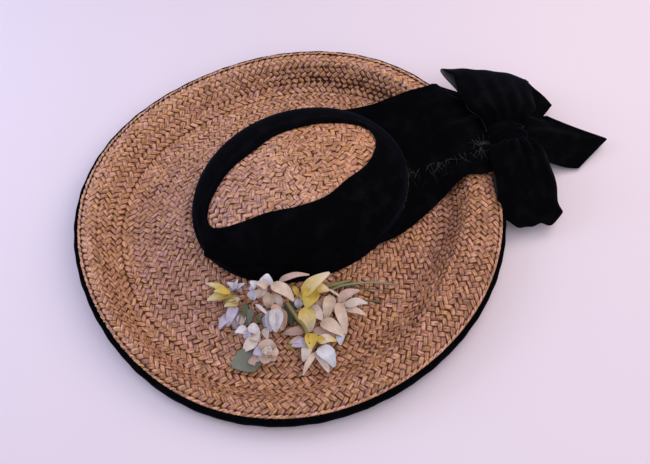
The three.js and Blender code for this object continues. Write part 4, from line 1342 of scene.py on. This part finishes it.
@dataclass
class SashAndBow:
    """Sash over the back of the brim, with the bow at its end."""

    velvet: bpy.types.Material
    satin: bpy.types.Material
    thread: bpy.types.Material
    wall: float = 1.1
    sash_rise: float = 35.0
    sash_size: tuple[int, int] = (80, 72)
    # How far the sash starts from the crown, and how high it stays over the straw and over the binding
    crown_clear: float = 2.4
    straw_clear: float = 1.2
    binding_clear: float = 1.2
    binding_reach: float = 5.8
    knot_radius: float = 18.6
    knot_heights: tuple[float, float] = (10.5, 17.0)
    knot_size: tuple[int, int] = (34, 96)
    knot_puckers: int = 7
    edge_threads: int = 60
    gather_threads: int = 18
    thread_radius: float = 0.11
    thread_lengths: tuple[float, float] = (5.0, 21.0)
    thread_lift: float = 0.9
    # The raw edge and the gather, in plan
    raw_edge: tuple[tuple[float, float], ...] = (
        (88, -6), (100, -15), (98, -30), (93, -41), (105, -41), (123, -44), (134, -52), (149, -64), (160, -63),
    )
    gather: tuple[float, float] = (163.0, -58.0)
    # From the crown to the knot: far angle, far way out, far height, near angle, near way out, near height, swell
    sash_rows: tuple[tuple[float, ...], ...] = (
        (47, 0, 0.7, -72, 0, 0.45, 0), (33, 0.08, 0.74, -59, 0.08, 0.38, 0.03),
        (24, 0.24, 0.82, -44, 0.2, 0.36, 0.04), (19, 0.46, 0.93, -32, 0.38, 0.4, 0.05),
        (15.5, 0.7, 1.02, -26, 0.62, 0.9, 0.04), (13, 0.92, 1.03, -25, 0.86, 0.95, 0.04),
        (12.5, 1.04, 1.0, -22.5, 1.04, 0.92, 0.03), (10, 1.13, 0.92, -20, 1.11, 0.8, 0.04),
        (4, 1.36, 0.8, -17, 1.36, 0.62, 0.06),
    )
    loops: tuple[BowLoop, ...] = (
        BowLoop(
            "bow_loop_far_velvet", "bow_loop_far", 62, 88, 58, 80, 40, 12, 20, 0.01, 2.0,
            round_left=0.08, round_right=0.2, lobe=13.0, flat=(0.075, 0.185),
        ),
        BowLoop(
            "bow_loop_near_velvet", "bow_loop_near", 246, 92, 54, 56, 40.3, 26.4, -9.3, -0.02, -3.0,
            phase=1.1, wave=1.8, round_left=0.12, flat=(0.056, 0.2),
        ),
    )
    tails: tuple[BowTail, ...] = (
        BowTail("bow_tail_short_velvet", "bow_tail_short", 25, 93, 26, 38, 24, 14, 10.0, 0.45, flat=(0.034, 0.085)),
        BowTail(
            "bow_tail_long_velvet", "bow_tail_long", -24, 104, 46, 60, 27, 4, 44, -0.08,
            belly=8.0, bank=11.0, flat=(0.06, 0.095),
        ),
    )

    def build(self) -> None:
        """Makes the sash, the knot, the loose threads, the loops and the tails."""
        self._sash()
        self._knot()
        self._threads()
        for part in (*self.loops, *self.tails):
            wall = ClothWall(part.grid(), part.wall)
            piece = wall.piece(part.name, [self.velvet, self.satin]).build(Slot.VELVET, [part.node])
            log.info("%s: %.4f square metres of cloth", part.name, wall.cut_area())

    def sash_grid(self) -> np.ndarray:
        """Middle of the sash's cloth, from the crown to the knot and from its far to its near edge."""
        rows, columns = self.sash_size
        place = np.linspace(0, 1, rows)
        table = along(np.array(self.sash_rows, float), place)
        share = np.linspace(0, 1, columns)[None, :]
        angle, out, height = (mix(table[:, part : part + 1], table[:, part + 3 : part + 4], share) for part in range(3))
        angle = np.radians(angle)
        height = self.sash_rise * (height + table[:, 6:7] * np.sin(math.pi * share))
        inset = BRIM.crown_inset(angle, self.crown_clear) * (1 - out)
        ground = BRIM.point(inset, angle, self.straw_clear + self.wall / 2)
        over = np.where(inset < 0, self.binding_clear, 0.0)
        floor = np.where(inset > -self.binding_reach, ground[..., 2] + over, 0.0)
        line = place[:, None]
        deep = 1.1 + 1.5 * line**2
        folds = deep * (np.cos(FULL_TURN * (3.2 * share + 0.5 * line)) + 0.5 * np.cos(FULL_TURN * 7.3 * share + 2.0))
        folds = folds * np.sin(math.pi * np.clip(share, 0.02, 0.98)) ** 0.5
        grid = ground.copy()
        grid[..., 2] = np.maximum(height + folds, floor)
        return grid

    def _sash(self) -> None:
        """The sash itself."""
        wall = ClothWall(self.sash_grid()[:, ::-1], self.wall)
        sash = wall.piece("sash_velvet", [self.velvet, self.satin]).build(Slot.VELVET, ["sash"])
        log.info("sash: %.4f square metres of cloth", wall.cut_area())

    def _threads(self) -> None:
        """Loose threads along the sash's raw edge and at the gather beside the knot."""
        rng = np.random.default_rng(21)
        cloth = self.sash_grid().reshape(-1, 3)
        line = np.array(self.raw_edge)
        place = np.sort(rng.random(self.edge_threads))
        starts = np.stack([np.interp(place, np.linspace(0, 1, len(line)), line[:, part]) for part in range(2)], -1)
        headings = np.where(rng.random(self.edge_threads) < 0.7, -95.0, -165.0) + rng.normal(0, 26, self.edge_threads)
        gather = np.array(self.gather) + rng.normal(0, 1.5, (self.gather_threads, 2))
        starts = np.concatenate([starts, gather])
        headings = np.radians(np.concatenate([headings, rng.uniform(0, 360, self.gather_threads)]))
        parts = Parts()
        for start, heading in zip(starts, headings):
            length = rng.uniform(*self.thread_lengths)
            bend = rng.normal(0, 1.2)
            path = []
            spot = start.copy()
            for step in range(5):
                near = cloth[np.argmin(np.hypot(cloth[:, 0] - spot[0], cloth[:, 1] - spot[1]))]
                path.append((spot[0], spot[1], near[2] + self.thread_lift + 0.5 * math.sin(step * 1.3)))
                turn = heading + bend * step / 4
                spot = spot + length / 4 * np.array([math.cos(turn), math.sin(turn)])
            parts.add(*tube(np.array(path), self.thread_radius, 0.4, 10, 5))
        threads = Piece("sash_frayed_threads", np.concatenate(parts.points), parts.faces, [self.thread])
        threads.build(Slot.VELVET, ["sash"])

    def _knot(self) -> None:
        """The gathered middle of the bow, with puckers that run into the loops."""
        rows, columns = self.knot_size
        turn = np.linspace(0, FULL_TURN, columns, endpoint=False)[None, :]
        rise = np.linspace(-1, 1, rows)[:, None]
        lean = np.arccos(-rise)
        pucker = np.cos(self.knot_puckers * turn + 2.5 * np.sin(2 * turn)) * np.sin(lean)
        middle = BOW.centre()
        reach = self.knot_radius * np.sin(lean) ** 0.8 * (1 + 0.05 * pucker)
        above, below = self.knot_heights
        x = middle[0] + reach * np.cos(turn)
        y = middle[1] + reach * np.sin(turn)
        z = middle[2] + np.where(rise > 0, above, below) * rise + 1.2 * pucker * np.clip(rise, 0, 1)
        grid = np.stack(np.broadcast_arrays(x, y, z), -1)
        faces = [face[::-1] for face in grid_faces(rows, columns, closed=True) + end_caps(rows, columns)]
        knot = Piece("bow_knot_velvet", grid.reshape(-1, 3), faces, [self.velvet]).build(Slot.VELVET, ["bow_knot"])


class Tint(Enum):
    """Dyes of the posy, one of them with painted shade: at the root, in the middle and at the tip."""

    CREAM = ("#c9b39f", "#d6c2b2", "#dccbbf")
    PALE = ("#c2b3a8", "#d5c9c3", "#dcd3d2")
    PINK = ("#b79a8e", "#c7aca3", "#cdb3ab")
    PEACH = ("#c8a68c", "#d8b69d", "#d3bcb0")
    WHITE = ("#cbc6cb", "#d9d6dd", "#dddbe4")
    BLUE = ("#b9b9c9", "#cfd0de", "#d6d8e6")
    ICE = ("#cfccd4", "#d2d8e2", "#ccd8e6")
    LILAC = ("#a79fb4", "#bdb6cc", "#c9c3d8")
    MAUVE = ("#8f8494", "#9d93a3", "#a99fae")
    # Cream darkened by painted shade, for a petal that lies in shadow
    SHADE = ("#a48d80", "#bba79a", "#c7b5a9")
    YELLOW = ("#c2a436", "#d3b850", "#d9c678")
    YELLOW_ROOT = ("#cdb24c", "#d5c28a", "#dccfbe")
    YELLOW_TIP = ("#c7ad4c", "#cdb96e", "#d8cfae")
    YELLOW_EDGE = ("#d3c6bd", "#d8cfc4", "#d8c35c")
    SEPAL = ("#8f7d4b", "#a8935c", "#b7a775")
    OLIVE = ("#8a7a35", "#a8943f", "#b9a551")
    GREEN = ("#4d5236", "#565c3e", "#62684a")
    DARK_GREEN = ("#2a3122", "#333a29", "#3d4431")
    GREY_GREEN = ("#5c6156", "#6a6f64", "#737a6e")
    STEM_PALE = ("#7d8263", "#8a9070", "#868b6b")
    STEM_OLIVE = ("#77703f", "#857c49", "#7d7443")
    STEM_DARK = ("#4b5138", "#575d42", "#565c42")

    def colours(self, share: np.ndarray) -> np.ndarray:
        """Colours at shares of the way from root to tip."""
        stops = np.array([linear(stop) for stop in self.value])
        return np.stack([np.interp(share, (0.0, 0.45, 1.0), stops[:, part]) for part in range(4)], -1)


@dataclass(frozen=True)
class Petal:
    """One petal or leaf: root and tip in the hat frame, and its width, all in millimetres."""

    root: tuple[float, float, float]
    tip: tuple[float, float, float]
    width: float
    cup: float
    curl: float
    tint: Tint
    point: float = 0.62
    wall: float = 0.45
    crease: float = 0.35
    ruffle: float = 0.28
    rows: int = 12
    columns: int = 9

    def grid(self, rng: np.random.Generator) -> np.ndarray:
        """Rows from root to tip, columns across, with a crease down the middle and a soft edge."""
        root, tip = np.array(self.root), np.array(self.tip)
        run = np.linspace(0, 1, self.rows)[:, None]
        side = np.linspace(-1, 1, self.columns)[None, :]
        line = tip - root
        length = float(np.linalg.norm(line))
        ahead = line / length
        across = unit(np.cross([0.0, 0.0, 1.0], ahead))
        up = unit(np.cross(ahead, across))
        if up[2] < 0:
            up, across = -up, -across
        spread = np.sin(math.pi * (0.06 + 0.9 * run**self.point)) ** 0.8
        half = self.width / 2 * spread
        waver = 1 + 0.07 * np.sin(5 * run + rng.uniform(0, 6)) * side
        arch = self.curl * length * 0.55 * np.sin(math.pi * run) - self.curl * 1.6 * run**3
        bowl = self.cup * half * (side**2) * 0.9 - self.crease * bell(side, 0, 0.16) * np.sin(math.pi * run)
        ruffle = self.ruffle * np.sin(11 * run + rng.uniform(0, 6)) * np.abs(side) ** 3
        lift = arch + bowl + ruffle
        points = root + line * run[..., None]
        return points + across * (half * waver * side)[..., None] + up * lift[..., None]


@dataclass(frozen=True)
class Stem:
    """A wire wrapped in waxed cloth, through a few points in the hat frame."""

    path: tuple[tuple[float, float, float], ...]
    radius: float
    tint: Tint
    taper: float = 0.8


@dataclass(frozen=True)
class Flower:
    """A flower, leaf or stem of the posy that is a piece of its own."""

    node: str
    slot: Slot
    petals: tuple[Petal, ...] = ()
    stems: tuple[Stem, ...] = ()

    def parts(self, rng: np.random.Generator) -> Parts:
        """Its petals and stems with the dye of every point."""
        parts = Parts()
        for petal in self.petals:
            wall = ClothWall(petal.grid(rng), petal.wall)
            share = np.repeat(np.linspace(0, 1, petal.rows), petal.columns)
            parts.add(wall.points(), wall.faces()[0], np.tile(petal.tint.colours(share), (2, 1)))
        for stem in self.stems:
            wire, faces = tube(np.array(stem.path), stem.radius, stem.taper)
            parts.add(wire, faces, stem.tint.colours(np.linspace(0, 1, len(wire))))
        return parts


# Petals: root, tip, width, cup, curl and dye. Stems: points, radius, dye and taper
FLOWERS: tuple[Flower, ...] = (
    Flower("lily_side", Slot.YELLOW, petals=(
        Petal((-110.4, -54.8, 22), (-121.3, -32.7, 19), 6.0, 0.5, 0.2, Tint.YELLOW_TIP),
        Petal((-110.6, -55.7, 21), (-127.8, -44.6, 14), 9.4, 0.6, 0.1, Tint.YELLOW_TIP),
        Petal((-110.8, -55.9, 25), (-120.8, -46.1, 24), 5.9, 0.4, 0.2, Tint.YELLOW),
        Petal((-106.9, -62.3, 20), (-118.0, -53.5, 17), 7.4, 0.5, 0.1, Tint.SEPAL),
        Petal((-106.7, -64.2, 22), (-117.0, -55.7, 12), 5.9, 0.4, 0.1, Tint.CREAM),
    )),
    Flower("blossom_small", Slot.LILAC, petals=(
        Petal((-103.3, -50.5, 17), (-106.3, -44.3, 22), 5.5, 0.4, 0.3, Tint.BLUE),
        Petal((-103.6, -51.0, 18), (-98.4, -48.0, 25), 3.0, 0.4, 0.1, Tint.BLUE),
        Petal((-102.7, -51.4, 17), (-95.0, -53.3, 22), 4.5, 0.4, 0.3, Tint.BLUE),
        Petal((-104.1, -49.9, 17), (-109.0, -46.8, 14), 5.0, 0.4, 0.2, Tint.LILAC),
        Petal((-102.5, -51.1, 17), (-98.9, -54.3, 14), 5.0, 0.4, 0.2, Tint.LILAC),
    )),
    Flower("blossom_lilac", Slot.LILAC, petals=(
        Petal((-92.2, -68.4, 34), (-94.2, -63.0, 38), 7.3, 0.5, 0.3, Tint.BLUE),
        Petal((-93.6, -68.8, 34), (-97.5, -65.3, 32), 5.9, 0.5, 0.2, Tint.LILAC),
        Petal((-94.5, -70.3, 34), (-98.3, -72.3, 24), 8.3, 0.7, 0.3, Tint.BLUE),
        Petal((-93.4, -70.3, 33), (-93.0, -74.6, 28), 5.9, 0.6, 0.2, Tint.CREAM),
    )),
    Flower("blossom_top", Slot.CREAM, petals=(
        Petal((-83.6, -71.6, 33), (-78.6, -65.0, 38), 11.3, 0.4, 0.4, Tint.BLUE),
        Petal((-84.6, -73.7, 33), (-90.0, -65.6, 36), 8.8, 0.5, 0.3, Tint.CREAM),
        Petal((-85.3, -73.8, 32), (-94.8, -73.3, 25), 7.8, 0.5, 0.3, Tint.PALE),
        Petal((-71.9, -72.8, 30), (-48.8, -83.7, 34), 6.1, 0.4, 0.3, Tint.PINK),
        Petal((-80.0, -73.4, 34), (-71.0, -93.4, 26), 11.3, 0.3, 0.4, Tint.CREAM),
        Petal((-85.9, -75.4, 29), (-89.7, -83.1, 17), 9.3, 0.7, 0.3, Tint.CREAM),
        Petal((-84.7, -79.7, 28), (-80.1, -88.8, 18), 7.4, 0.7, 0.3, Tint.PALE),
    )),
    Flower("lily_trumpet", Slot.YELLOW, petals=(
        Petal((-63.1, -95.9, 30), (-36.3, -96.2, 42), 12.2, 0.5, 0.3, Tint.YELLOW_ROOT),
        Petal((-52.8, -100.8, 36), (-43.2, -105.4, 33), 8.8, 0.4, 0.3, Tint.YELLOW_ROOT),
        Petal((-52.5, -102.0, 36), (-66.0, -103.3, 24), 14.6, 0.6, 0.2, Tint.YELLOW),
        Petal((-62.1, -95.2, 28), (-65.5, -96.6, 26), 5.9, 0.6, 0.2, Tint.YELLOW),
        Petal((-65.8, -103.2, 24), (-73.0, -119.3, 12), 14.7, 0.5, 0.3, Tint.YELLOW_ROOT),
        Petal((-63.9, -104.5, 22), (-57.7, -117.1, 14), 10.8, 0.4, 0.3, Tint.PALE),
        Petal((-66.5, -92.8, 24), (-69.0, -97.1, 16), 6.5, 0.7, 0.3, Tint.BLUE),
        Petal((-64.4, -82.8, 28), (-64.7, -90.9, 22), 4.7, 0.5, 0.2, Tint.YELLOW),
        Petal((-52.8, -100.6, 16), (-49.5, -110.6, 11), 9.4, 0.4, 0.2, Tint.PINK),
    )),
    Flower("blossom_cream", Slot.CREAM, petals=(
        Petal((-40.8, -104.4, 20), (-54.8, -117.6, 12), 10.7, 0.4, 0.3, Tint.CREAM),
        Petal((-40.2, -113.6, 20), (-48.8, -137.6, 11), 9.6, 0.4, 0.3, Tint.CREAM),
        Petal((-36.7, -118.8, 19), (-18.1, -126.3, 16), 8.3, 0.4, 0.3, Tint.PALE),
        Petal((-38.0, -122.0, 18), (-24.8, -134.3, 13), 6.1, 0.4, 0.3, Tint.CREAM),
        Petal((-39.0, -111.9, 19), (-17.8, -113.9, 20), 8.7, 0.4, 0.3, Tint.PINK),
        Petal((-39.9, -100.3, 24), (-34.5, -112.7, 20), 2.2, 0.3, 0.1, Tint.CREAM),
        Petal((-38.7, -113.2, 20), (-32.9, -118.7, 19), 4.9, 0.3, 0.1, Tint.CREAM),
    )),
    Flower("lily_star", Slot.CREAM, petals=(
        Petal((-60.9, -118.2, 15), (-51.2, -138.5, 11), 12.2, 0.3, 0.4, Tint.CREAM),
        Petal((-69.6, -119.6, 12), (-56.0, -136.0, 9), 7.8, 0.3, 0.2, Tint.PINK),
        Petal((-52.5, -134.3, 11), (-57.5, -142.3, 8), 7.4, 0.4, 0.3, Tint.BLUE),
        Petal((-73.6, -123.4, 17), (-81.6, -133.7, 13), 10.6, 0.8, 0.2, Tint.YELLOW),
        Petal((-73.3, -131.0, 14), (-59.0, -138.4, 12), 8.5, 0.5, 0.3, Tint.YELLOW_EDGE),
        Petal((-71.8, -128.0, 15), (-68.8, -138.1, 13), 6.4, 0.5, 0.3, Tint.YELLOW),
        Petal((-74.5, -136.1, 13), (-73.2, -156.0, 9), 13.5, 0.4, 0.4, Tint.ICE),
        Petal((-78.3, -137.3, 13), (-79.6, -156.7, 7), 8.8, 0.4, 0.3, Tint.PALE),
        Petal((-79.7, -137.7, 12), (-98.5, -146.6, 7), 5.2, 0.4, 0.3, Tint.CREAM),
        Petal((-80.7, -129.7, 13), (-91.5, -136.8, 8), 8.7, 0.4, 0.3, Tint.PALE),
        Petal((-80.5, -128.6, 13), (-91.6, -119.7, 9), 8.7, 0.4, 0.3, Tint.LILAC),
        Petal((-77.5, -116.5, 12), (-91.1, -106.7, 9), 8.2, 0.4, 0.3, Tint.PINK),
        Petal((-80.1, -123.6, 11), (-91.6, -116.1, 8), 7.2, 0.4, 0.3, Tint.PINK),
        Petal((-94.2, -116.6, 7), (-91.1, -125.8, 6), 2.3, 0.3, 0.1, Tint.OLIVE),
        Petal((-91.4, -113.2, 7), (-92.0, -122.8, 6), 2.0, 0.3, 0.1, Tint.OLIVE),
    ), stems=(
        Stem(
            ((-77.0, -92.0, 27), (-77.4, -107.2, 24), (-76.3, -117.5, 20), (-80.5, -129.6, 15)), 1.7, Tint.STEM_OLIVE,
        ),
    )),
    Flower("rosebud", Slot.CREAM, petals=(
        Petal((-88.6, -90.6, 24), (-99.8, -99.2, 11), 10.8, 0.8, 0.2, Tint.BLUE),
        Petal((-84.0, -92.5, 24), (-90.6, -104.3, 11), 10.3, 0.8, 0.2, Tint.PEACH),
        Petal((-87.1, -91.3, 26), (-96.9, -104.4, 15), 11.7, 0.8, 0.2, Tint.WHITE),
        Petal((-92.5, -89.3, 21), (-101.1, -93.6, 11), 6.9, 0.6, 0.2, Tint.LILAC),
        Petal((-98.2, -76.1, 22), (-94.9, -93.0, 22), 3.1, 0.5, 0.1, Tint.WHITE),
        Petal((-89.5, -86.6, 24), (-83.5, -93.5, 24), 5.9, 0.4, 0.1, Tint.PEACH),
    )),
    Flower("blossom_fan", Slot.LILAC, petals=(
        Petal((-108.8, -65.1, 18), (-119.7, -59.6, 17), 7.1, 0.4, 0.3, Tint.YELLOW_TIP),
        Petal((-111.3, -65.8, 18), (-126.2, -74.6, 11), 9.1, 0.4, 0.3, Tint.LILAC),
        Petal((-118.7, -67.6, 13), (-132.7, -71.5, 9), 8.3, 0.4, 0.3, Tint.LILAC),
        Petal((-113.2, -68.7, 14), (-122.0, -79.4, 9), 9.1, 0.4, 0.3, Tint.MAUVE),
        Petal((-111.6, -73.9, 15), (-116.0, -80.2, 10), 7.9, 0.6, 0.2, Tint.PALE),
    )),
    Flower("blossom_white", Slot.LILAC, petals=(
        Petal((-115.7, -89.3, 14), (-124.4, -83.9, 13), 8.2, 0.5, 0.3, Tint.WHITE),
        Petal((-113.3, -87.0, 15), (-107.9, -96.8, 12), 9.3, 0.5, 0.3, Tint.WHITE),
        Petal((-115.4, -89.5, 15), (-120.1, -95.0, 10), 7.0, 0.5, 0.3, Tint.LILAC),
        Petal((-102.8, -94.4, 12), (-104.4, -102.7, 8), 6.1, 0.5, 0.2, Tint.PALE),
        Petal((-113.2, -99.8, 12), (-127.2, -101.3, 8), 10.9, 0.4, 0.3, Tint.PALE),
        Petal((-114.7, -94.0, 13), (-111.3, -101.9, 10), 8.8, 0.4, 0.3, Tint.PALE),
    )),
    Flower("rose", Slot.CREAM, petals=(
        Petal((-112.5, -115.9, 15), (-106.7, -106.2, 16), 14.5, 0.5, 0.3, Tint.SHADE),
        Petal((-111.3, -116.7, 15), (-104.8, -120.1, 13), 12.5, 0.5, 0.3, Tint.CREAM),
        Petal((-112.9, -115.6, 15), (-122.5, -109.0, 12), 10.8, 0.5, 0.4, Tint.LILAC),
        Petal((-114.2, -116.7, 14), (-120.1, -120.1, 10), 11.9, 0.5, 0.3, Tint.CREAM),
        Petal((-112.6, -117.8, 14), (-109.7, -123.3, 9), 9.1, 0.5, 0.3, Tint.CREAM),
        Petal((-124.9, -109.7, 9), (-123.3, -119.4, 7), 11.1, 0.3, 0.2, Tint.PINK),
        Petal((-113.5, -117.7, 17), (-116.3, -114.3, 19), 7.6, 0.8, 0.5, Tint.PALE),
        Petal((-113.5, -117.7, 17), (-109.2, -114.8, 19), 7.7, 0.8, 0.5, Tint.PALE),
        Petal((-113.5, -117.7, 17), (-111.0, -121.3, 18), 6.7, 0.8, 0.5, Tint.PINK),
        Petal((-113.5, -117.7, 17), (-117.0, -120.4, 17), 7.6, 0.8, 0.5, Tint.PINK),
    )),
    Flower("leaf_dark", Slot.GREEN, petals=(
        Petal((-73.2, -88.4, 20), (-82.2, -106.8, 12), 9.5, 0.3, 0.1, Tint.DARK_GREEN),
        Petal((-71.0, -100.9, 18), (-74.0, -113.9, 12), 9.5, 0.3, 0.2, Tint.GREEN),
        Petal((-105.1, -68.8, 20), (-112.0, -82.5, 13), 6.0, 0.4, 0.1, Tint.GREEN),
        Petal((-102.7, -76.0, 20), (-110.8, -84.1, 12), 5.5, 0.4, 0.1, Tint.GREY_GREEN),
        Petal((-104.0, -83.3, 18), (-101.0, -90.9, 14), 5.5, 0.4, 0.1, Tint.GREEN),
    )),
    Flower("leaf_round", Slot.GREEN, petals=(
        Petal((-118.6, -113.6, 8.5), (-141.6, -105.2, 6.5), 22.5, 0.12, 0.05, Tint.GREY_GREEN, point=0.8),
    )),
    Flower("stem_pale", Slot.GREEN, stems=(
        Stem(((-35.6, -98.6, 16), (-24.1, -101.3, 17), (-0.4, -113.3, 15), (15.0, -123.6, 10)), 1.1, Tint.STEM_PALE),
    )),
    Flower("stem_olive", Slot.GREEN, stems=(
        Stem(((-40.0, -92.8, 16.5), (-28.2, -96.7, 16.5), (-16.5, -99.6, 15)), 2.2, Tint.STEM_OLIVE, 0.7),
    )),
    Flower("stem_dark", Slot.GREEN, stems=(
        Stem(((-35.1, -101.4, 10), (-24.6, -112.7, 10), (-8.9, -125.3, 8), (-4.2, -129.1, 7)), 0.9, Tint.STEM_DARK),
        Stem(((-23.0, -101.7, 13), (-10.9, -110.9, 12), (2.0, -120.7, 10)), 0.6, Tint.STEM_DARK),
    )),
)


@dataclass
class Posy:
    """The bunch of cloth flowers at the crown's near side."""

    cotton: bpy.types.Material
    waxed: bpy.types.Material

    def build(self) -> None:
        """Makes each flower, leaf and stem as one piece."""
        rng = np.random.default_rng(11)
        for flower in FLOWERS:
            parts = flower.parts(rng)
            material = self.waxed if flower.slot is Slot.GREEN else self.cotton
            piece = Piece(f"{flower.node}_cloth", np.concatenate(parts.points), parts.faces, [material])
            piece.values = {"dye": np.concatenate(parts.values)}
            piece.build(flower.slot, [flower.node])


@dataclass(frozen=True)
class Studio:
    """Pale table, soft lights and the camera at the photograph's angle."""

    azimuth: float = -35.0
    elevation: float = 56.0
    distance: float = 803.48
    target: tuple[float, float, float] = (-7.5, -48.2, 20.0)
    lens: float = 50.0
    table: str = "#e5deee"
    # Half the table's side, in metres
    table_half: float = 4.0
    air: str = "#f3eefb"
    air_strength: float = 0.45
    # Name, place and side in millimetres, power in watts, and colour
    lights: tuple[tuple[str, tuple[float, float, float], float, float, str], ...] = (
        ("warm_window", (640.0, -20.0, 640.0), 600.0, 2.9, "#ffe6d2"),
        ("cool_window", (-520.0, 560.0, 460.0), 600.0, 3.2, "#dce2ff"),
        ("pale_wall", (-60.0, -560.0, 1000.0), 1100.0, 5.3, "#fff4ee"),
    )

    def build(self) -> None:
        """Makes the camera first, then the table, the lights and the air."""
        self._camera()
        self._table()
        for light in self.lights:
            self._light(*light)
        world = bpy.data.worlds.new("pale room")
        bpy.context.scene.world = world
        world.use_nodes = True
        background = world.node_tree.nodes["Background"]
        background.inputs["Color"].default_value = linear(self.air)
        background.inputs["Strength"].default_value = self.air_strength
        bpy.context.scene.view_settings.view_transform = "Standard"

    def _camera(self) -> None:
        """Camera on a sphere round its target."""
        turn, lift = math.radians(self.azimuth), math.radians(self.elevation)
        back = Vector((math.sin(turn) * math.cos(lift), -math.cos(turn) * math.cos(lift), math.sin(lift)))
        data = bpy.data.cameras.new("camera")
        data.lens = self.lens
        data.sensor_width = 36.0
        data.clip_start, data.clip_end = 0.01, 20.0
        camera = add_object("camera", data)
        camera.location = Vector(PLACING.metres(np.array(self.target))[0]) + back * self.distance * MM
        turn_to(camera, -back)
        bpy.context.scene.camera = camera

    def _table(self) -> None:
        """A plain pale table, whose far edge shows in low views only."""
        half = self.table_half
        corners = [(-half, -half, 0.0), (half, -half, 0.0), (half, half, 0.0), (-half, half, 0.0)]
        mesh = bpy.data.meshes.new("table")
        mesh.from_pydata(corners, [], [(0, 1, 2, 3)])
        material, _, shader = new_material("matt paper")
        shader.inputs["Base Color"].default_value = linear(self.table)
        shader.inputs["Roughness"].default_value = 0.9
        mesh.materials.append(material)
        add_object("table", mesh)

    @staticmethod
    def _light(name: str, place: tuple[float, float, float], size: float, power: float, colour: str) -> None:
        """A soft square light that faces the hat."""
        data = bpy.data.lights.new(name, "AREA")
        data.shape = "SQUARE"
        data.size = size * MM
        data.energy = power
        data.color = linear(colour)[:3]
        light = add_object(name, data)
        light.location = Vector(PLACING.metres(np.array(place))[0])
        turn_to(light, -light.location)


def main() -> None:
    """Builds the studio and the hat, piece by piece."""
    logging.basicConfig(level=logging.INFO, format="%(name)s: %(message)s")
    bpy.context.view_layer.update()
    Studio().build()
    straw, shade = SplitStraw().build(), StrawShade().build()
    velvet, satin, thread = SilkVelvet().build(), SatinBack().build(), FrayedThread().build()
    StrawBody(straw, shade).build()
    VelvetBand(velvet, satin).build()
    EdgeBinding(velvet).build()
    SashAndBow(velvet, satin, thread).build()
    cotton = PetalCotton("stiffened cotton, dyed").build()
    waxed = PetalCotton("waxed cotton leaf", weave_mm=0.8, roughness=0.5).build()
    Posy(cotton, waxed).build()


if __name__ == "__main__":
    main()
